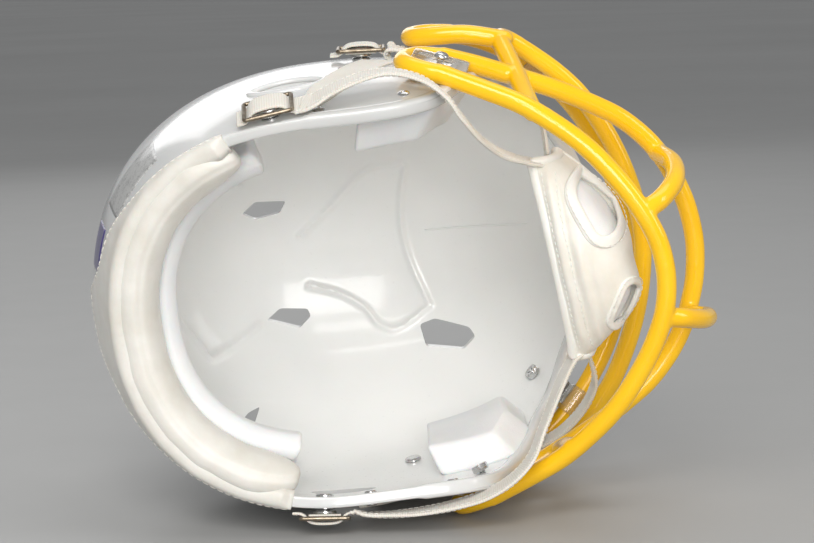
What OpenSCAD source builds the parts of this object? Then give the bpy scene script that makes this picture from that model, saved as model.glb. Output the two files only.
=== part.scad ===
// American football helmet, half scale, lying on the wearer's left side.
// Every piece is drawn in the helmet's own axes: x forward, y wearer's left, z towards the crown.
// lay() then turns the whole helmet onto its left side, resting on z = 0.

/* [Shell] */
// Reach of the brow ahead of the shell's axis
front_r = 79; // [60:0.5:100]
// Reach of the back behind the shell's axis
rear_r = 68; // [50:0.5:90]
// Half width at the ears
half_w = 59; // [45:0.5:80]
// Crown height above the widest level
crown_h = 58; // [40:0.5:80]
// How far the skirt's curve runs down below the widest level
skirt = 105; // [80:1:160]
// Shell thickness
wall = 2.6; // [1.5:0.1:5]
// Extra reach of the jaw flaps low down
jaw_reach = 10; // [0:0.5:20]
// Squareness of the crown, 1 is round
crown_e = 0.9; // [0.7:0.01:1]

/* [Padding] */
// Thickness of the neck roll
roll_t = 11.6; // [6:0.2:16]
// Height of the neck roll
roll_h = 17; // [10:0.5:24]
// Thickness of the rear pad
rear_pad_t = 6.5; // [3:0.1:10]
// Thickness of the jaw pads
jaw_pad_t = 8; // [3:0.1:12]

/* [Face mask] */
// Radius of the coated mask wire
bar_r = 2.6; // [1.5:0.1:4]
// Sides of the mask wire's section
bar_n = 12; // [8:1:24]

/* [Straps and hardware] */
// Strap width
strap_w = 9; // [5:0.5:14]
// Strap thickness
strap_t = 1; // [0.6:0.1:2]
// Buckle frame length
frame_l = 13.6; // [10:0.2:20]
// Buckle frame width
frame_w = 11.6; // [9:0.2:18]
// Buckle wire radius
wire_r = 0.65; // [0.4:0.05:1]
// Snap button radius
snap_r = 3.6; // [2.5:0.1:5]
// Screw head radius
head_r = 1.9; // [1:0.1:3]

/* [Chin cup] */
// Half of the cup's width
cup_half = 26.5; // [20:0.5:36]
// Cup wall thickness
cup_wall = 2; // [1:0.1:4]
// How far the cup sits off centre to the wearer's right
cup_shift = 2; // [0:0.5:6]

/* [Pose] */
// Front tilted up from the table
pitch = 5.6; // [0:0.1:20]
// Crown tilted up from the table
roll = 3.4; // [0:0.1:20]
// Height of the helmet's axis above the table
lift = 62.77; // [50:0.01:80]
// Offset forward that centres the footprint
shift_x = -9.35; // [-40:0.01:40]
// Offset towards the crown that centres the footprint
shift_y = 0.26; // [-40:0.01:40]

/* [Output] */
// Piece to draw

/* [Hidden] */
$fn = 40;
axis_x = -6;
white = [0.93, 0.94, 0.94];
cream = [0.91, 0.89, 0.84];
foam = [0.95, 0.95, 0.94];
gold = [0.98, 0.74, 0.09];
clear = [0.85, 0.88, 0.9, 0.5];
steel = [0.72, 0.71, 0.69];

// edge of the shell, from mid brow round the left side to mid back: [angle, height]
rim = [[0, 25], [16, 24.5], [28, 21.5], [35, 14], [41, 2], [46, -12], [51, -26], [54, -38],
    [57, -47], [62, -52], [72, -54], [92, -54], [108, -53], [126, -50], [148, -47.5], [180, -46]];

jaw_pts = [[78, 0, -54], [76.8, 9, -54], [73.3, 17.5, -53.5], [68.5, 25.5, -52.5], [62, 34, -51],
    [54.5, 41, -49], [46.5, 46.9, -47], [37, 51.8, -44.5], [27, 56.6, -41.5]];
mouth_pts = [[90.2, 0, -17], [89.2, 9.5, -17], [87, 17, -17], [84.5, 23, -17.5], [80, 29.8, -18],
    [74, 36, -19], [67.5, 40.5, -20], [58, 46, -21.5], [48, 50.8, -23], [38, 55.4, -24.5], [29, 59, -26]];
lower_loop_pts = [[29, 55.2, -42], [24, 57.2, -40.5], [19.8, 59, -37.5], [18.4, 59.8, -33.5],
    [19.8, 60.2, -29], [24, 59.8, -26.6], [31, 57.9, -25.7]];
eye_pts = [[78.3, 0, 5], [77.3, 10, 5], [75, 20, 5], [71.5, 29.5, 4.8], [66, 40, 4.3],
    [60, 47.5, 3.7], [53, 54, 3], [48, 58, 2]];
leg_pts = [[50, 56.6, 2.5], [46.5, 59.2, 0.5], [45, 59.5, -6], [46.5, 54.6, -17], [48, 49.8, -28],
    [49, 46, -40], [49.5, 44.5, -47.5]];
brow_pts = [[75, 0, 19], [74, 10, 19], [71, 21, 18.5], [67, 31, 17.5], [61.5, 40, 16],
    [54.5, 48.2, 14], [46.5, 55, 12], [38, 59.6, 10.5], [30, 62, 9.5]];
upper_loop_pts = [[32, 61.6, 9.8], [26, 62.5, 8.6], [22, 62.7, 5.6], [21, 62.7, 2],
    [23, 62.7, -2], [28, 62.7, -4.2], [36, 62.2, -5.4], [46, 59.6, -6.5]];
// the mask is bent a little towards the wearer's right, so the two struts differ
strut_right = [[73.8, -16.5, -53.4], [79, -18.5, -50.5], [83.9, -21.5, -42], [85.2, -24, -30],
    [82.8, -25.5, -17.8]];
strut_left = [[76.1, 11.2, -53.6], [82, 13, -50.5], [87.5, 15.8, -42], [89.8, 18, -30],
    [85.9, 19.8, -17.4]];
link_pts = [[72.2, 17, 18.8], [76, 17, 12], [75.8, 16.6, 5.2]];

low_right = [[51, -29.8, -25], [46.5, -30.8, -29.5], [40.5, -34.2, -36.5], [35, -40, -44.5],
    [31.2, -46, -48.5],
    [28, -51.5, -50.3], [22.5, -56.8, -50.8], [15, -59.4, -50.5], [8, -59.2, -50.3], [0, -56.9, -50.2],
    [-5.5, -54.6, -50]];
low_left = [[55.5, 26.8, -24.5], [52, 28.4, -28], [47.5, 32.6, -36], [42.8, 38.8, -44.5],
    [38.6, 44.8, -49.5],
    [33, 49.6, -51.3], [26, 52.8, -51.3], [17, 54.8, -50.8], [8, 55.4, -50.5], [0, 55.3, -50.2],
    [-5.5, 54.6, -50]];
up_right = [[53, -30, -15.5], [53.2, -36, -12], [51.5, -43, -8], [48, -48, -5.8], [43, -52.3, -4.2],
    [36, -55.6, -3], [28, -57.8, -2], [21, -59.4, -1], [15.5, -60.3, 0.2]];
up_left = [[55, 25.8, -15], [58.5, 30, -13], [59.5, 36, -10.6], [57.4, 42, -8.6], [53, 47.5, -6.8],
    [47.5, 52, -5.2], [40, 55, -3.8], [33, 56.8, -2.8], [26, 58.2, -1.8], [20, 59.5, -0.8],
    [15.5, 60.3, 0.2]];

snap_low = [101.5, -48.5];
snap_up = [77.5, 1];

function ease(t) = let(u = min(1, max(0, t))) u * u * (3 - 2 * u);
function ring_r(th, z) =
    let(c = cos(th), s = sin(th), low = ease(-z / 60),
        a = c > 0 ? front_r + jaw_reach * low : rear_r - 3.5 * low,
        n = 2.25 + (c > 0 ? 1.2 * low * ease(c / 0.5) : 0))
    pow(pow(abs(c / a), n) + pow(abs(s / half_w), n), -1 / n);
function lat_of(z) = z >= 0 ? asin(pow(z / crown_h, 1 / crown_e)) : -asin(-z / skirt);
function skin(th, lat, off) =
    let(z0 = lat >= 0 ? crown_h * pow(sin(lat), crown_e) : skirt * sin(lat),
        lev = lat >= 0 ? pow(cos(lat), crown_e) : cos(lat),
        r = (ring_r(th, z0) + off) * lev)
    [axis_x + r * cos(th), r * sin(th), lat >= 0 ? (crown_h + off) * pow(sin(lat), crown_e)
        : (skirt + off) * sin(lat)];
function spline_at(p, i, t) =
    let(m = len(p) - 1, p1 = p[i], p2 = p[i + 1],
        p0 = i > 0 ? p[i - 1] : 2 * p1 - p2, p3 = i + 2 <= m ? p[i + 2] : 2 * p2 - p1)
    0.5 * (2 * p1 + (p2 - p0) * t + (2 * p0 - 5 * p1 + 4 * p2 - p3) * t * t
        + (3 * p1 - p0 - 3 * p2 + p3) * t * t * t);
function spline(p, k) = concat([for (i = [0 : len(p) - 2], j = [0 : k - 1]) spline_at(p, i, j / k)],
    [p[len(p) - 1]]);
function flip(p) = [for (q = p) [q[0], -q[1], q[2]]];
function both(p) = concat([for (i = [len(p) - 1 : -1 : 1]) [p[i][0], -p[i][1], p[i][2]]], p);
function unit(v) = v / norm(v);
function dir_at(p, i) = unit(p[min(len(p) - 1, i + 1)] - p[max(0, i - 1)]);
// surface frame at an angle and height: [point, forward, across, outward]
function seat(th, z, side) =
    let(l = lat_of(z), p = skin(th, l, 0), t = unit(skin(th - 1, l, 0) - skin(th + 1, l, 0)),
        u = unit(skin(th, l + 1, 0) - skin(th, l - 1, 0)), n = unit(cross(u, t)), b = cross(n, t))
    side > 0 ? [p, t, b, n] : [for (v = [p, t, -b, n]) [v[0], -v[1], v[2]]];

// closed solid from rings of points, all with the same count
module loft(rings) {
    m = len(rings[0]);
    k = len(rings);
    polyhedron([for (r = rings, p = r) p],
        concat([for (j = [0 : k - 2], i = [0 : m - 1]) each
                [[j * m + i, j * m + (i + 1) % m, (j + 1) * m + i],
                [j * m + (i + 1) % m, (j + 1) * m + (i + 1) % m, (j + 1) * m + i]]],
            [[for (i = [m - 1 : -1 : 0]) i]], [[for (i = [0 : m - 1]) (k - 1) * m + i]]), convexity = 10);
}
module tube(pts, ref = [0, 0, 1], k = 3, r = bar_r, n = bar_n) {
    p = spline(pts, k);
    loft([for (i = [0 : len(p) - 1])
        let(t = dir_at(p, i), a = unit(cross(ref, t)), b = cross(t, a))
        [for (j = [0 : n - 1]) p[i] + r * (cos(360 * j / n) * a - sin(360 * j / n) * b)]]);
}
// flat strap standing on edge: width along z
module ribbon(pts, k = 3) {
    p = spline(pts, k);
    loft([for (i = [0 : len(p) - 1])
        let(t = dir_at(p, i), a = unit(cross([0, 0, 1], t)), b = cross(t, a))
        [for (c = [[1, -1], [-1, -1], [-1, 1], [1, 1]])
            p[i] + c[0] * a * strap_t / 2 + c[1] * b * strap_w / 2]]);
}
// block that follows the shell between two angles, two heights and two offsets
module skin_block(th0, th1, z0, z1, off0, off1, nu = 8, nv = 5) {
    loft([for (i = [0 : nu])
        let(th = th0 + (th1 - th0) * i / nu)
        concat([for (j = [0 : nv]) skin(th, lat_of(z0 + (z1 - z0) * j / nv), off1)],
            [for (j = [nv : -1 : 0]) skin(th, lat_of(z0 + (z1 - z0) * j / nv), off0)])]);
}
module at_seat(th, z, side) {
    s = seat(th, z, side);
    multmatrix([[s[1][0], s[2][0], s[3][0], s[0][0]], [s[1][1], s[2][1], s[3][1], s[0][1]],
        [s[1][2], s[2][2], s[3][2], s[0][2]], [0, 0, 0, 1]]) children();
}
// frame on a clip: origin, along the bar, outward
module at_frame(o, t, n) {
    tt = unit(t);
    b = unit(cross(n, tt));
    nn = cross(tt, b);
    multmatrix([[tt[0], b[0], nn[0], o[0]], [tt[1], b[1], nn[1], o[1]],
        [tt[2], b[2], nn[2], o[2]], [0, 0, 0, 1]]) children();
}
module lay() {
    translate([shift_x, shift_y, lift]) rotate([0, -pitch, 0]) rotate([roll, 0, 0])
        rotate([-90, 0, 0]) children();
}
module slot(c, size, turn) {
    translate(c) rotate([0, 0, turn]) hull() for (s = [-1, 1])
        translate([s * (size[0] - size[1]) / 2, 0, -9]) cylinder(d = size[1], h = 20, $fn = 24);
}

// edge columns of the shell: [rim angle, rim latitude, angle at the crown]
half_rim = spline(rim, 3);
m = len(half_rim) - 1;
nu = 2 * m;
nv = 20;
b = nu * nv + 1;
function col(i) = let(k = i <= m ? i : nu - i, s = i <= m ? 1 : -1)
    [s * half_rim[k][0], lat_of(half_rim[k][1]), s * 180 * k / m];
function shell_layer(off) = concat([for (j = [0 : nv - 1], i = [0 : nu - 1]) let(c = col(i))
    skin(c[0] + (c[2] - c[0]) * ease(j / nv), c[1] + (90 - c[1]) * j / nv, off)],
    [[axis_x, 0, crown_h + off]]);
module shell() color(white) lay() difference() {
    polyhedron(concat(shell_layer(0), shell_layer(-wall)), concat(
        [for (j = [0 : nv - 2], i = [0 : nu - 1]) each
            let(a = j * nu + i, c = j * nu + (i + 1) % nu)
            [[a, c + nu, c], [a, a + nu, c + nu],
            [b + a, b + c, b + c + nu], [b + a, b + c + nu, b + a + nu]]],
        [for (i = [0 : nu - 1]) each
            let(a = (nv - 1) * nu + i, c = (nv - 1) * nu + (i + 1) % nu)
            [[a, b - 1, c], [b + a, b + c, 2 * b - 1],
            [i, (i + 1) % nu, b + i], [(i + 1) % nu, b + (i + 1) % nu, b + i]]]), convexity = 10);
    for (s = [-1, 1]) {
        slot([20, s * 32.6 - 2.1, 45], [15, 6.5], -s * 12);
        slot([-27, s * 16.7 + 3.7, 51], [11, 5.5], s * 12);
        slot([-40, s * 44.5, 27], [6, 4], s * 40);
        translate([-12.5, s * 56, -27]) rotate([90, 0, 0]) slot([0, 0, 0], [17, 9], -s * 6);
    }
}
// height of the flap's upper edge at each angle from the middle of the back
flap_edge = [[0, -12], [6, -14.5], [10, -25], [13, -30], [16.5, -33], [23.5, -35.5],
    [29, -39], [33.5, -42], [39, -44.5], [46, -46.2], [54, -48], [66, -50.6]];
module neck_roll() color(cream) lay() {
    k = 26;
    loft([for (i = [0 : k])
        let(th = 111 + 133 * i / k, e = min(i, k - i) / 3.5, f = 0.35 + 0.65 * ease(e),
            h = abs(th > 180 ? 360 - th : th), z = lookup(h, rim), p = skin(th, lat_of(z), 0),
            o = [cos(th), sin(th), 0])
        [for (j = [0 : 15]) let(a = 360 * j / 16, c = cos(a), s = sin(a))
            p + o * (-roll_t / 2 + roll_t / 2 * f * sign(c) * pow(abs(c), 0.8))
                + [0, 0, 5.5 + roll_h / 2 * f * sign(s) * pow(abs(s), 0.8)]]]);
    // flap of the cover, wrapped over the edge and glued up the outside of the back
    loft([for (i = [0 : 32])
        let(th = 244 - 132 * i / 32, h = abs(th - 180), zr = lookup(180 - h, rim), z0 = zr + 0.6,
            z1 = max(z0 + 1.2, lookup(h, flap_edge)))
        concat([skin(th, lat_of(zr - 0.15), -2.6), skin(th, lat_of(zr - 0.15), 0.05)],
            [for (j = [0 : 5]) skin(th, lat_of(z0 + (z1 - z0) * j / 5), -0.1)],
            [for (j = [5 : -1 : 0]) skin(th, lat_of(z0 + (z1 - z0) * j / 5), j == 5 ? 0.4 : 0.9)],
            [skin(th, lat_of(zr - 0.9), 0.4), skin(th, lat_of(zr - 1.3), -2.6)])]);
}
// the rear pad lies on the wall at its top and on the neck roll at its bottom
module rear_pad() color(foam) lay()
    loft([for (i = [0 : 18])
        let(th = 248 - 136 * i / 18, top = 20 - 14 * pow(abs(i - 9) / 9, 2))
        concat([for (j = [0 : 8]) let(z = -43 + (top + 43) * j / 8)
                skin(th, lat_of(z), -wall - rear_pad_t - 10.2 * ease((-6 - z) / 26))],
            [for (j = [8 : -1 : 0]) let(z = -43 + (top + 43) * j / 8)
                skin(th, lat_of(z), -wall + 0.2 - 9.2 * ease((-27 - z) / 5))])]);
// foam block on the inner wall, cut back where the shell's edge rises
module jaw_pad(th0, th1, z0, z1, t)
    loft([for (i = [0 : 8])
        let(th = th0 + (th1 - th0) * i / 8, zl = max(z0, lookup(abs(th), rim) + 1.5))
        concat([for (j = [0 : 5]) skin(th, lat_of(zl + (z1 - zl) * j / 5), -wall + 0.2)],
            [for (j = [5 : -1 : 0]) skin(th, lat_of(zl + (z1 - zl) * j / 5), -wall - t)])]);
module jaw_pad_right() color(foam) lay() jaw_pad(-77, -50.5, -46, -16, jaw_pad_t * 1.75);
module jaw_pad_left() color(foam) lay() jaw_pad(46, 69.5, -25, 6, jaw_pad_t * 1.15);

module jaw_bar() color(gold) lay() tube(both(jaw_pts));
module mouth_bar() color(gold) lay() tube(both(mouth_pts));
module lower_loop_right() color(gold) lay() tube(flip(lower_loop_pts), [0, 1, 0]);
module lower_loop_left() color(gold) lay() tube(lower_loop_pts, [0, 1, 0]);
module eye_bar() color(gold) lay() tube(both(eye_pts));
module side_leg_right() color(gold) lay() tube(flip(leg_pts), [0.9, 0.4, 0]);
module side_leg_left() color(gold) lay() tube(leg_pts, [0.9, -0.4, 0]);
module brow_bar() color(gold) lay() tube(both(brow_pts));
module upper_loop_right() color(gold) lay() tube(flip(upper_loop_pts), [0, 1, 0]);
module upper_loop_left() color(gold) lay() tube(upper_loop_pts, [0, 1, 0]);
module front_strut_right() color(gold) lay() tube(strut_right, [0, 1, 0]);
module front_strut_left() color(gold) lay() tube(strut_left, [0, 1, 0]);
module brow_link_right() color(gold) lay() tube(flip(link_pts), [0, 1, 0], r = 2.2);
module brow_link_left() color(gold) lay() tube(link_pts, [0, 1, 0], r = 2.2);

// the side clips sit between the two wires of the lower loop
side_o = [27.5, 57.4, -33.8];
side_t = [17.5, -7, -1.8];
side_n = [0.345, 0.912, -0.2];
brow_o = [54.5, 48.2, 14];
brow_t = [15, -15.5, 4];
brow_n = [0.66, 0.7, 0.15];
function mir(v, s) = [v[0], s * v[1], v[2]];
module at_side(s) at_frame(mir(side_o, s), mir(side_t, s), mir(side_n, s)) children();
module at_brow(s) at_frame(mir(brow_o, s), mir(brow_t, s), mir(brow_n, s)) children();
module side_clip(s) at_side(s) difference() {
    union() {
        translate([-7.5, -5, -2.6]) cube([15, 10, 5.2]);
        translate([-7.5, -7, 1.7]) cube([15, 14, 1.1]);
    }
    translate([0, 0, -6]) cylinder(r = 0.95, h = 14);
}
module brow_clip(s) at_brow(s) difference() {
    union() {
        rotate([0, 90, 0]) translate([0, 0, -4]) cylinder(r = 3.8, h = 8);
        translate([-4, -s * 9 - 3.5, -7.4]) cube([8, 7, 1.8]);
        translate([-4, -s * 5 - 3, -7.4]) cube([8, 6, 6.4]);
    }
    rotate([0, 90, 0]) translate([0, 0, -5]) cylinder(r = bar_r, h = 10);
    translate([0, -s * 10, -12]) cylinder(r = 0.95, h = 14);
}
module side_clip_right() color(clear) lay() side_clip(-1);
module side_clip_left() color(clear) lay() side_clip(1);
module brow_clip_right() color(clear) lay() brow_clip(-1);
module brow_clip_left() color(clear) lay() brow_clip(1);
module clip_screws() color(steel) lay() for (s = [-1, 1]) {
    at_side(s) {
        translate([0, 0, 2.8]) cylinder(r1 = head_r, r2 = head_r - 0.5, h = 1.1);
        translate([0, 0, -8]) cylinder(r = 0.9, h = 11);
    }
    at_brow(s) translate([0, -s * 10, 0]) {
        translate([0, 0, -5.6]) cylinder(r1 = head_r, r2 = head_r - 0.5, h = 1.2);
        translate([0, 0, -13]) cylinder(r = 0.9, h = 7.6);
    }
}
module clip_nuts() color(steel) lay() for (s = [-1, 1]) {
    at_side(s) translate([0, 0, -8]) difference() {
        cylinder(r = 2.4, h = 1.8, $fn = 6);
        translate([0, 0, -1]) cylinder(r = 0.9, h = 4);
    }
    at_brow(s) translate([0, -s * 10, -13]) difference() {
        cylinder(r = 2.4, h = 1.8, $fn = 6);
        translate([0, 0, -1]) cylinder(r = 0.9, h = 4);
    }
}
module snap_studs() color(steel) lay() for (q = [snap_low, snap_up], s = [-1, 1])
    at_seat(q[0], q[1], s) {
        translate([0, 0, -3.4]) cylinder(r = 1.3, h = 5.7);
        translate([0, 0, -0.3]) cylinder(r = 2.5, h = 0.8);
        translate([0, 0, -3.6]) cylinder(r = 2.3, h = 0.9);
    }
module jaw_rivets() color(steel) lay() for (q = [[88, -49.5], [66, -45]], s = [-1, 1])
    at_seat(q[0], q[1], s) {
        translate([0, 0, -3.3]) cylinder(r = 0.9, h = 3.8);
        translate([0, 0, -3.5]) cylinder(r = 1.6, h = 0.8);
        translate([0, 0, -0.1]) cylinder(r = 1.6, h = 0.7);
    }
module rear_label() color([0.85, 0.85, 0.85]) lay() skin_block(-152, -134, -37.5, -20, -0.2, 0.35, 6, 4);
module rear_patch() color([0.25, 0.22, 0.5]) lay() skin_block(-167.5, -157, -28.3, -16, -0.2, 0.35, 5, 4);

// section of the chin cup at a share u of its width, from the back edge under the chin to the front
function cup_at(u) =
    let(f = 1 - pow(abs(u), 2.2), xr = 51 + 2.6 * u, xf = 57.5 + 15 * f + 3 * ease(u / 0.5), w = xf - xr,
        zb = -29 - 9.5 * f, zt = -12.5)
    [[xr, zb + 4.5 * f], [xr + 0.2 * w, zb + 1.1 * f], [xr + 0.5 * w, zb], [xr + 0.8 * w, zb + 2.2],
    [xf - 0.5, zb + 8], [xf, (zb + zt) / 2 + 3], [xf - 0.8, zt]];
function cup_shell(u, d) =
    let(p = cup_at(u))
    [for (i = [0 : 6]) let(t = unit(p[min(6, i + 1)] - p[max(0, i - 1)])) p[i] + d * [-t[1], t[0]]];
module cup_layer(d0, d1, u1, k) {
    loft([for (i = [0 : k])
        let(u = -u1 + 2 * u1 * i / k, y = cup_half * u - cup_shift,
            a = cup_shell(u, d0), b = cup_shell(u, d1))
        concat([for (q = a) [q[0], y, q[1]]], [for (j = [6 : -1 : 0]) [b[j][0], y, b[j][1]]])]);
}
// the large window on the wearer's right and the small one on the left, cut from below
module cup_vents() {
    hull() for (q = [[62.4, -19.5, 9], [65.2, -11.6, 8.6], [64.6, -19, 6]])
        translate([q[0], q[1], -48]) cylinder(d = q[2], h = 22, $fn = 32);
    hull() for (q = [[70.2, 7.8, 5], [66.4, 14.8, 4.6]])
        translate([q[0], q[1], -48]) cylinder(d = q[2], h = 22, $fn = 32);
}
module chin_cup() color(cream) lay() difference() {
    cup_layer(0, cup_wall, 1, 20);
    cup_vents();
}
module cup_lining() color([0.95, 0.94, 0.92]) lay() cup_layer(cup_wall, cup_wall + 1.4, 0.82, 16);

// webbing on the shell's side, from the lower buckle towards the upper one: [forward, height]
link_mid = [[-7.6, -44.8], [-5.4, -41.8], [-2.8, -37], [0, -31.5], [2.7, -25.5], [5.5, -19.5],
    [8.4, -13.2], [10.6, -8.4]];
link_wide = [[0, 1], [-0.35, 0.94], [-0.7, 0.71], [-0.9, 0.43], [-0.9, 0.42], [-0.9, 0.42],
    [-0.9, 0.42], [-0.9, 0.42]];
function on_side(q, s, off) =
    let(l = lat_of(q[1]), r = skin(90, l, 0)[1], p = skin(acos((q[0] - axis_x) / r), l, off))
    [p[0], s * p[1], p[2]];
module strap_link(s) color(cream) lay()
    loft([for (i = s > 0 ? [0 : 7] : [7 : -1 : 0])
        concat([for (k = [-2 : 2]) on_side(link_mid[i] + link_wide[i] * 2.55 * k, s, -0.05)],
            [for (k = [2 : -1 : -2]) on_side(link_mid[i] + link_wide[i] * 2.55 * k, s, 0.8)])]);
module strap_link_right() strap_link(-1);
module strap_link_left() strap_link(1);

module strap_lower_right() color(cream) lay() ribbon(low_right);
module strap_lower_left() color(cream) lay() ribbon(low_left);
module strap_upper_right() color(cream) lay() ribbon(up_right);
module strap_upper_left() color(cream) lay() ribbon(up_left);

module buckle() {
    l = frame_l - 2 * wire_r;
    w = frame_w - 2 * wire_r;
    for (s = [-1, 1]) {
        translate([s * l / 2, -w / 2, 2.9]) rotate([-90, 0, 0]) cylinder(r = wire_r, h = w);
        translate([-l / 2, s * w / 2, 2.9]) rotate([0, 90, 0]) cylinder(r = wire_r, h = l);
        for (t = [-1, 1]) translate([s * l / 2, t * w / 2, 2.9]) sphere(r = wire_r);
    }
}
module snap() difference() {
    union() {
        translate([0, 0, 0.8]) cylinder(r = 3, h = 0.8);
        translate([0, 0, 1.5]) cylinder(r = 2, h = 1);
        translate([0, 0, 2.4]) cylinder(r1 = snap_r, r2 = snap_r - 0.5, h = 1.2);
    }
    translate([0, 0, 0]) cylinder(r = 1.6, h = 2.7);
}
// webbing tab: one layer under the snap button, one folded over it
tab_low = [[-8.4, 1.2], [-6.4, 1.1], [-4.9, 2.1], [-3.9, 3.65], [0, 3.75], [3.9, 3.65], [4.9, 2.1],
    [6.4, 1.1], [7.4, 1.2]];
module tab() {
    w = strap_w - 0.2;
    difference() {
        translate([-4.2, -w / 2, 1.62]) cube([8.4, w, 0.7]);
        cylinder(r = 2, h = 5);
    }
    translate([0, w / 2, 0]) rotate([90, 0, 0]) linear_extrude(w)
        polygon(concat(tab_low, [for (i = [8 : -1 : 0]) tab_low[i] + [0, 0.8]]));
}
module buckle_lower_right() color(steel) lay() at_seat(snap_low[0], snap_low[1], -1) buckle();
module buckle_lower_left() color(steel) lay() at_seat(snap_low[0], snap_low[1], 1) buckle();
module buckle_upper_right() color(steel) lay() at_seat(snap_up[0], snap_up[1], -1) buckle();
module buckle_upper_left() color(steel) lay() at_seat(snap_up[0], snap_up[1], 1) buckle();
module snap_lower_right() color(steel) lay() at_seat(snap_low[0], snap_low[1], -1) snap();
module snap_lower_left() color(steel) lay() at_seat(snap_low[0], snap_low[1], 1) snap();
module snap_upper_right() color(steel) lay() at_seat(snap_up[0], snap_up[1], -1) snap();
module snap_upper_left() color(steel) lay() at_seat(snap_up[0], snap_up[1], 1) snap();
module tab_lower_right() color(cream) lay() at_seat(snap_low[0], snap_low[1], -1) tab();
module tab_lower_left() color(cream) lay() at_seat(snap_low[0], snap_low[1], 1) tab();
module tab_upper_right() color(cream) lay() at_seat(snap_up[0], snap_up[1], -1) tab();
module tab_upper_left() color(cream) lay() at_seat(snap_up[0], snap_up[1], 1) tab();

shell();
neck_roll();
rear_pad();
jaw_pad_right();
jaw_pad_left();
jaw_bar();
mouth_bar();
lower_loop_right();
lower_loop_left();
eye_bar();
side_leg_right();
side_leg_left();
brow_bar();
upper_loop_right();
upper_loop_left();
front_strut_right();
front_strut_left();
brow_link_right();
brow_link_left();
side_clip_right();
side_clip_left();
brow_clip_right();
brow_clip_left();
clip_screws();
clip_nuts();
snap_studs();
jaw_rivets();
rear_label();
rear_patch();
chin_cup();
cup_lining();
strap_lower_right();
strap_lower_left();
strap_upper_right();
strap_upper_left();
strap_link_right();
strap_link_left();
buckle_lower_right();
buckle_lower_left();
buckle_upper_right();
buckle_upper_left();
snap_lower_right();
snap_lower_left();
snap_upper_right();
snap_upper_left();
tab_lower_right();
tab_lower_left();
tab_upper_right();
tab_upper_left();
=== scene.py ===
import bpy
import bmesh
import math
import numpy as np
from mathutils import Matrix, Vector, noise
from mathutils.geometry import convex_hull_2d


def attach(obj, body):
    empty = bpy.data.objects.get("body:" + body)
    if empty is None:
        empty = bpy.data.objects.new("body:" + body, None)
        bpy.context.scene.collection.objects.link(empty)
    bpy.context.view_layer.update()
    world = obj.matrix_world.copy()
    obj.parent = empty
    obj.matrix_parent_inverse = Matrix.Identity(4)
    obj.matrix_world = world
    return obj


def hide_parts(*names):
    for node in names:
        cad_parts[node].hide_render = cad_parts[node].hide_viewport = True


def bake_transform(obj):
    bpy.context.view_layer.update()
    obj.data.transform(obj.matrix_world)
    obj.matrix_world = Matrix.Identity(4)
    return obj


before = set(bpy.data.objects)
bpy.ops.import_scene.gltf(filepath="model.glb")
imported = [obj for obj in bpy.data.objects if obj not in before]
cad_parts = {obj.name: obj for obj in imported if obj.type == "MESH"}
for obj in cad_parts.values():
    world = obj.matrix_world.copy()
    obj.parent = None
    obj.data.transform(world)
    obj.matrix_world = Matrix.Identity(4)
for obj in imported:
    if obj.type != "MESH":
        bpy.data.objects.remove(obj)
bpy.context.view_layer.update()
scene = bpy.context.scene

# ---------------------------------------------------------------- helmet axes (mm) to the row frame (m)
PITCH, ROLL = math.radians(5.6), math.radians(3.4)
SHIFT = np.array([-9.35, 0.26, 62.77])
LAY = np.array([[1, 0, 0], [0, 0, 1], [0, -1, 0]], float)


def turn_x(a):
    c, s = math.cos(a), math.sin(a)
    return np.array([[1, 0, 0], [0, c, -s], [0, s, c]])


def turn_y(a):
    c, s = math.cos(a), math.sin(a)
    return np.array([[c, 0, s], [0, 1, 0], [-s, 0, c]])


POSE = turn_y(-PITCH) @ turn_x(ROLL) @ LAY


def row(p):
    return (np.asarray(p, float) @ POSE.T + SHIFT) * 0.001


# ---------------------------------------------------------------- camera, at the photograph's viewing angle
VIEW_PITCH, VIEW_ROLL, VIEW_EL = math.radians(7.3), math.radians(4.0), math.radians(7.0)
DISTANCE, AIM_X, LENS = 640.0, 12.0, 101.9
seen = turn_y(-VIEW_PITCH) @ turn_x(VIEW_ROLL) @ LAY


def place_camera():
    back = np.array([0, -math.cos(VIEW_EL), math.sin(VIEW_EL)])
    up = np.array([0, math.sin(VIEW_EL), math.cos(VIEW_EL)])
    right = np.array([1.0, 0, 0])
    eye = np.array([AIM_X, 0, 0]) + back * DISTANCE
    to_row = POSE @ seen.T
    m = np.eye(4)
    for i, v in enumerate((right, up, back)):
        m[:3, i] = to_row @ v
    m[:3, 3] = (to_row @ eye + SHIFT) * 0.001
    data = bpy.data.cameras.new("camera")
    data.lens, data.sensor_width = LENS, 36
    data.clip_start, data.clip_end = 0.02, 20
    cam = bpy.data.objects.new("camera", data)
    scene.collection.objects.link(cam)
    cam.matrix_world = Matrix([list(r) for r in m])
    scene.camera = cam


place_camera()

# ---------------------------------------------------------------- shell surface
AXIS_X, FRONT, REAR, HALF, CROWN, SKIRT, JAW, EXP = -6.0, 79.0, 68.0, 59.0, 58.0, 105.0, 10.0, 0.9
RIM = [(0, 25), (16, 24.5), (28, 21.5), (35, 14), (41, 2), (46, -12), (51, -26), (54, -38),
       (57, -47), (62, -52), (72, -54), (92, -54), (108, -53), (126, -50), (148, -47.5), (180, -46)]


def ease(t):
    t = np.clip(t, 0, 1)
    return t * t * (3 - 2 * t)


def ring_r(th, z):
    c, s = np.cos(th), np.sin(th)
    low = ease(-z / 60)
    a = np.where(c > 0, FRONT + JAW * low, REAR - 3.5 * low)
    n = 2.25 + np.where(c > 0, 1.2 * low * ease(c / 0.5), 0)
    return (np.abs(c / a) ** n + np.abs(s / HALF) ** n) ** (-1 / n)


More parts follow.
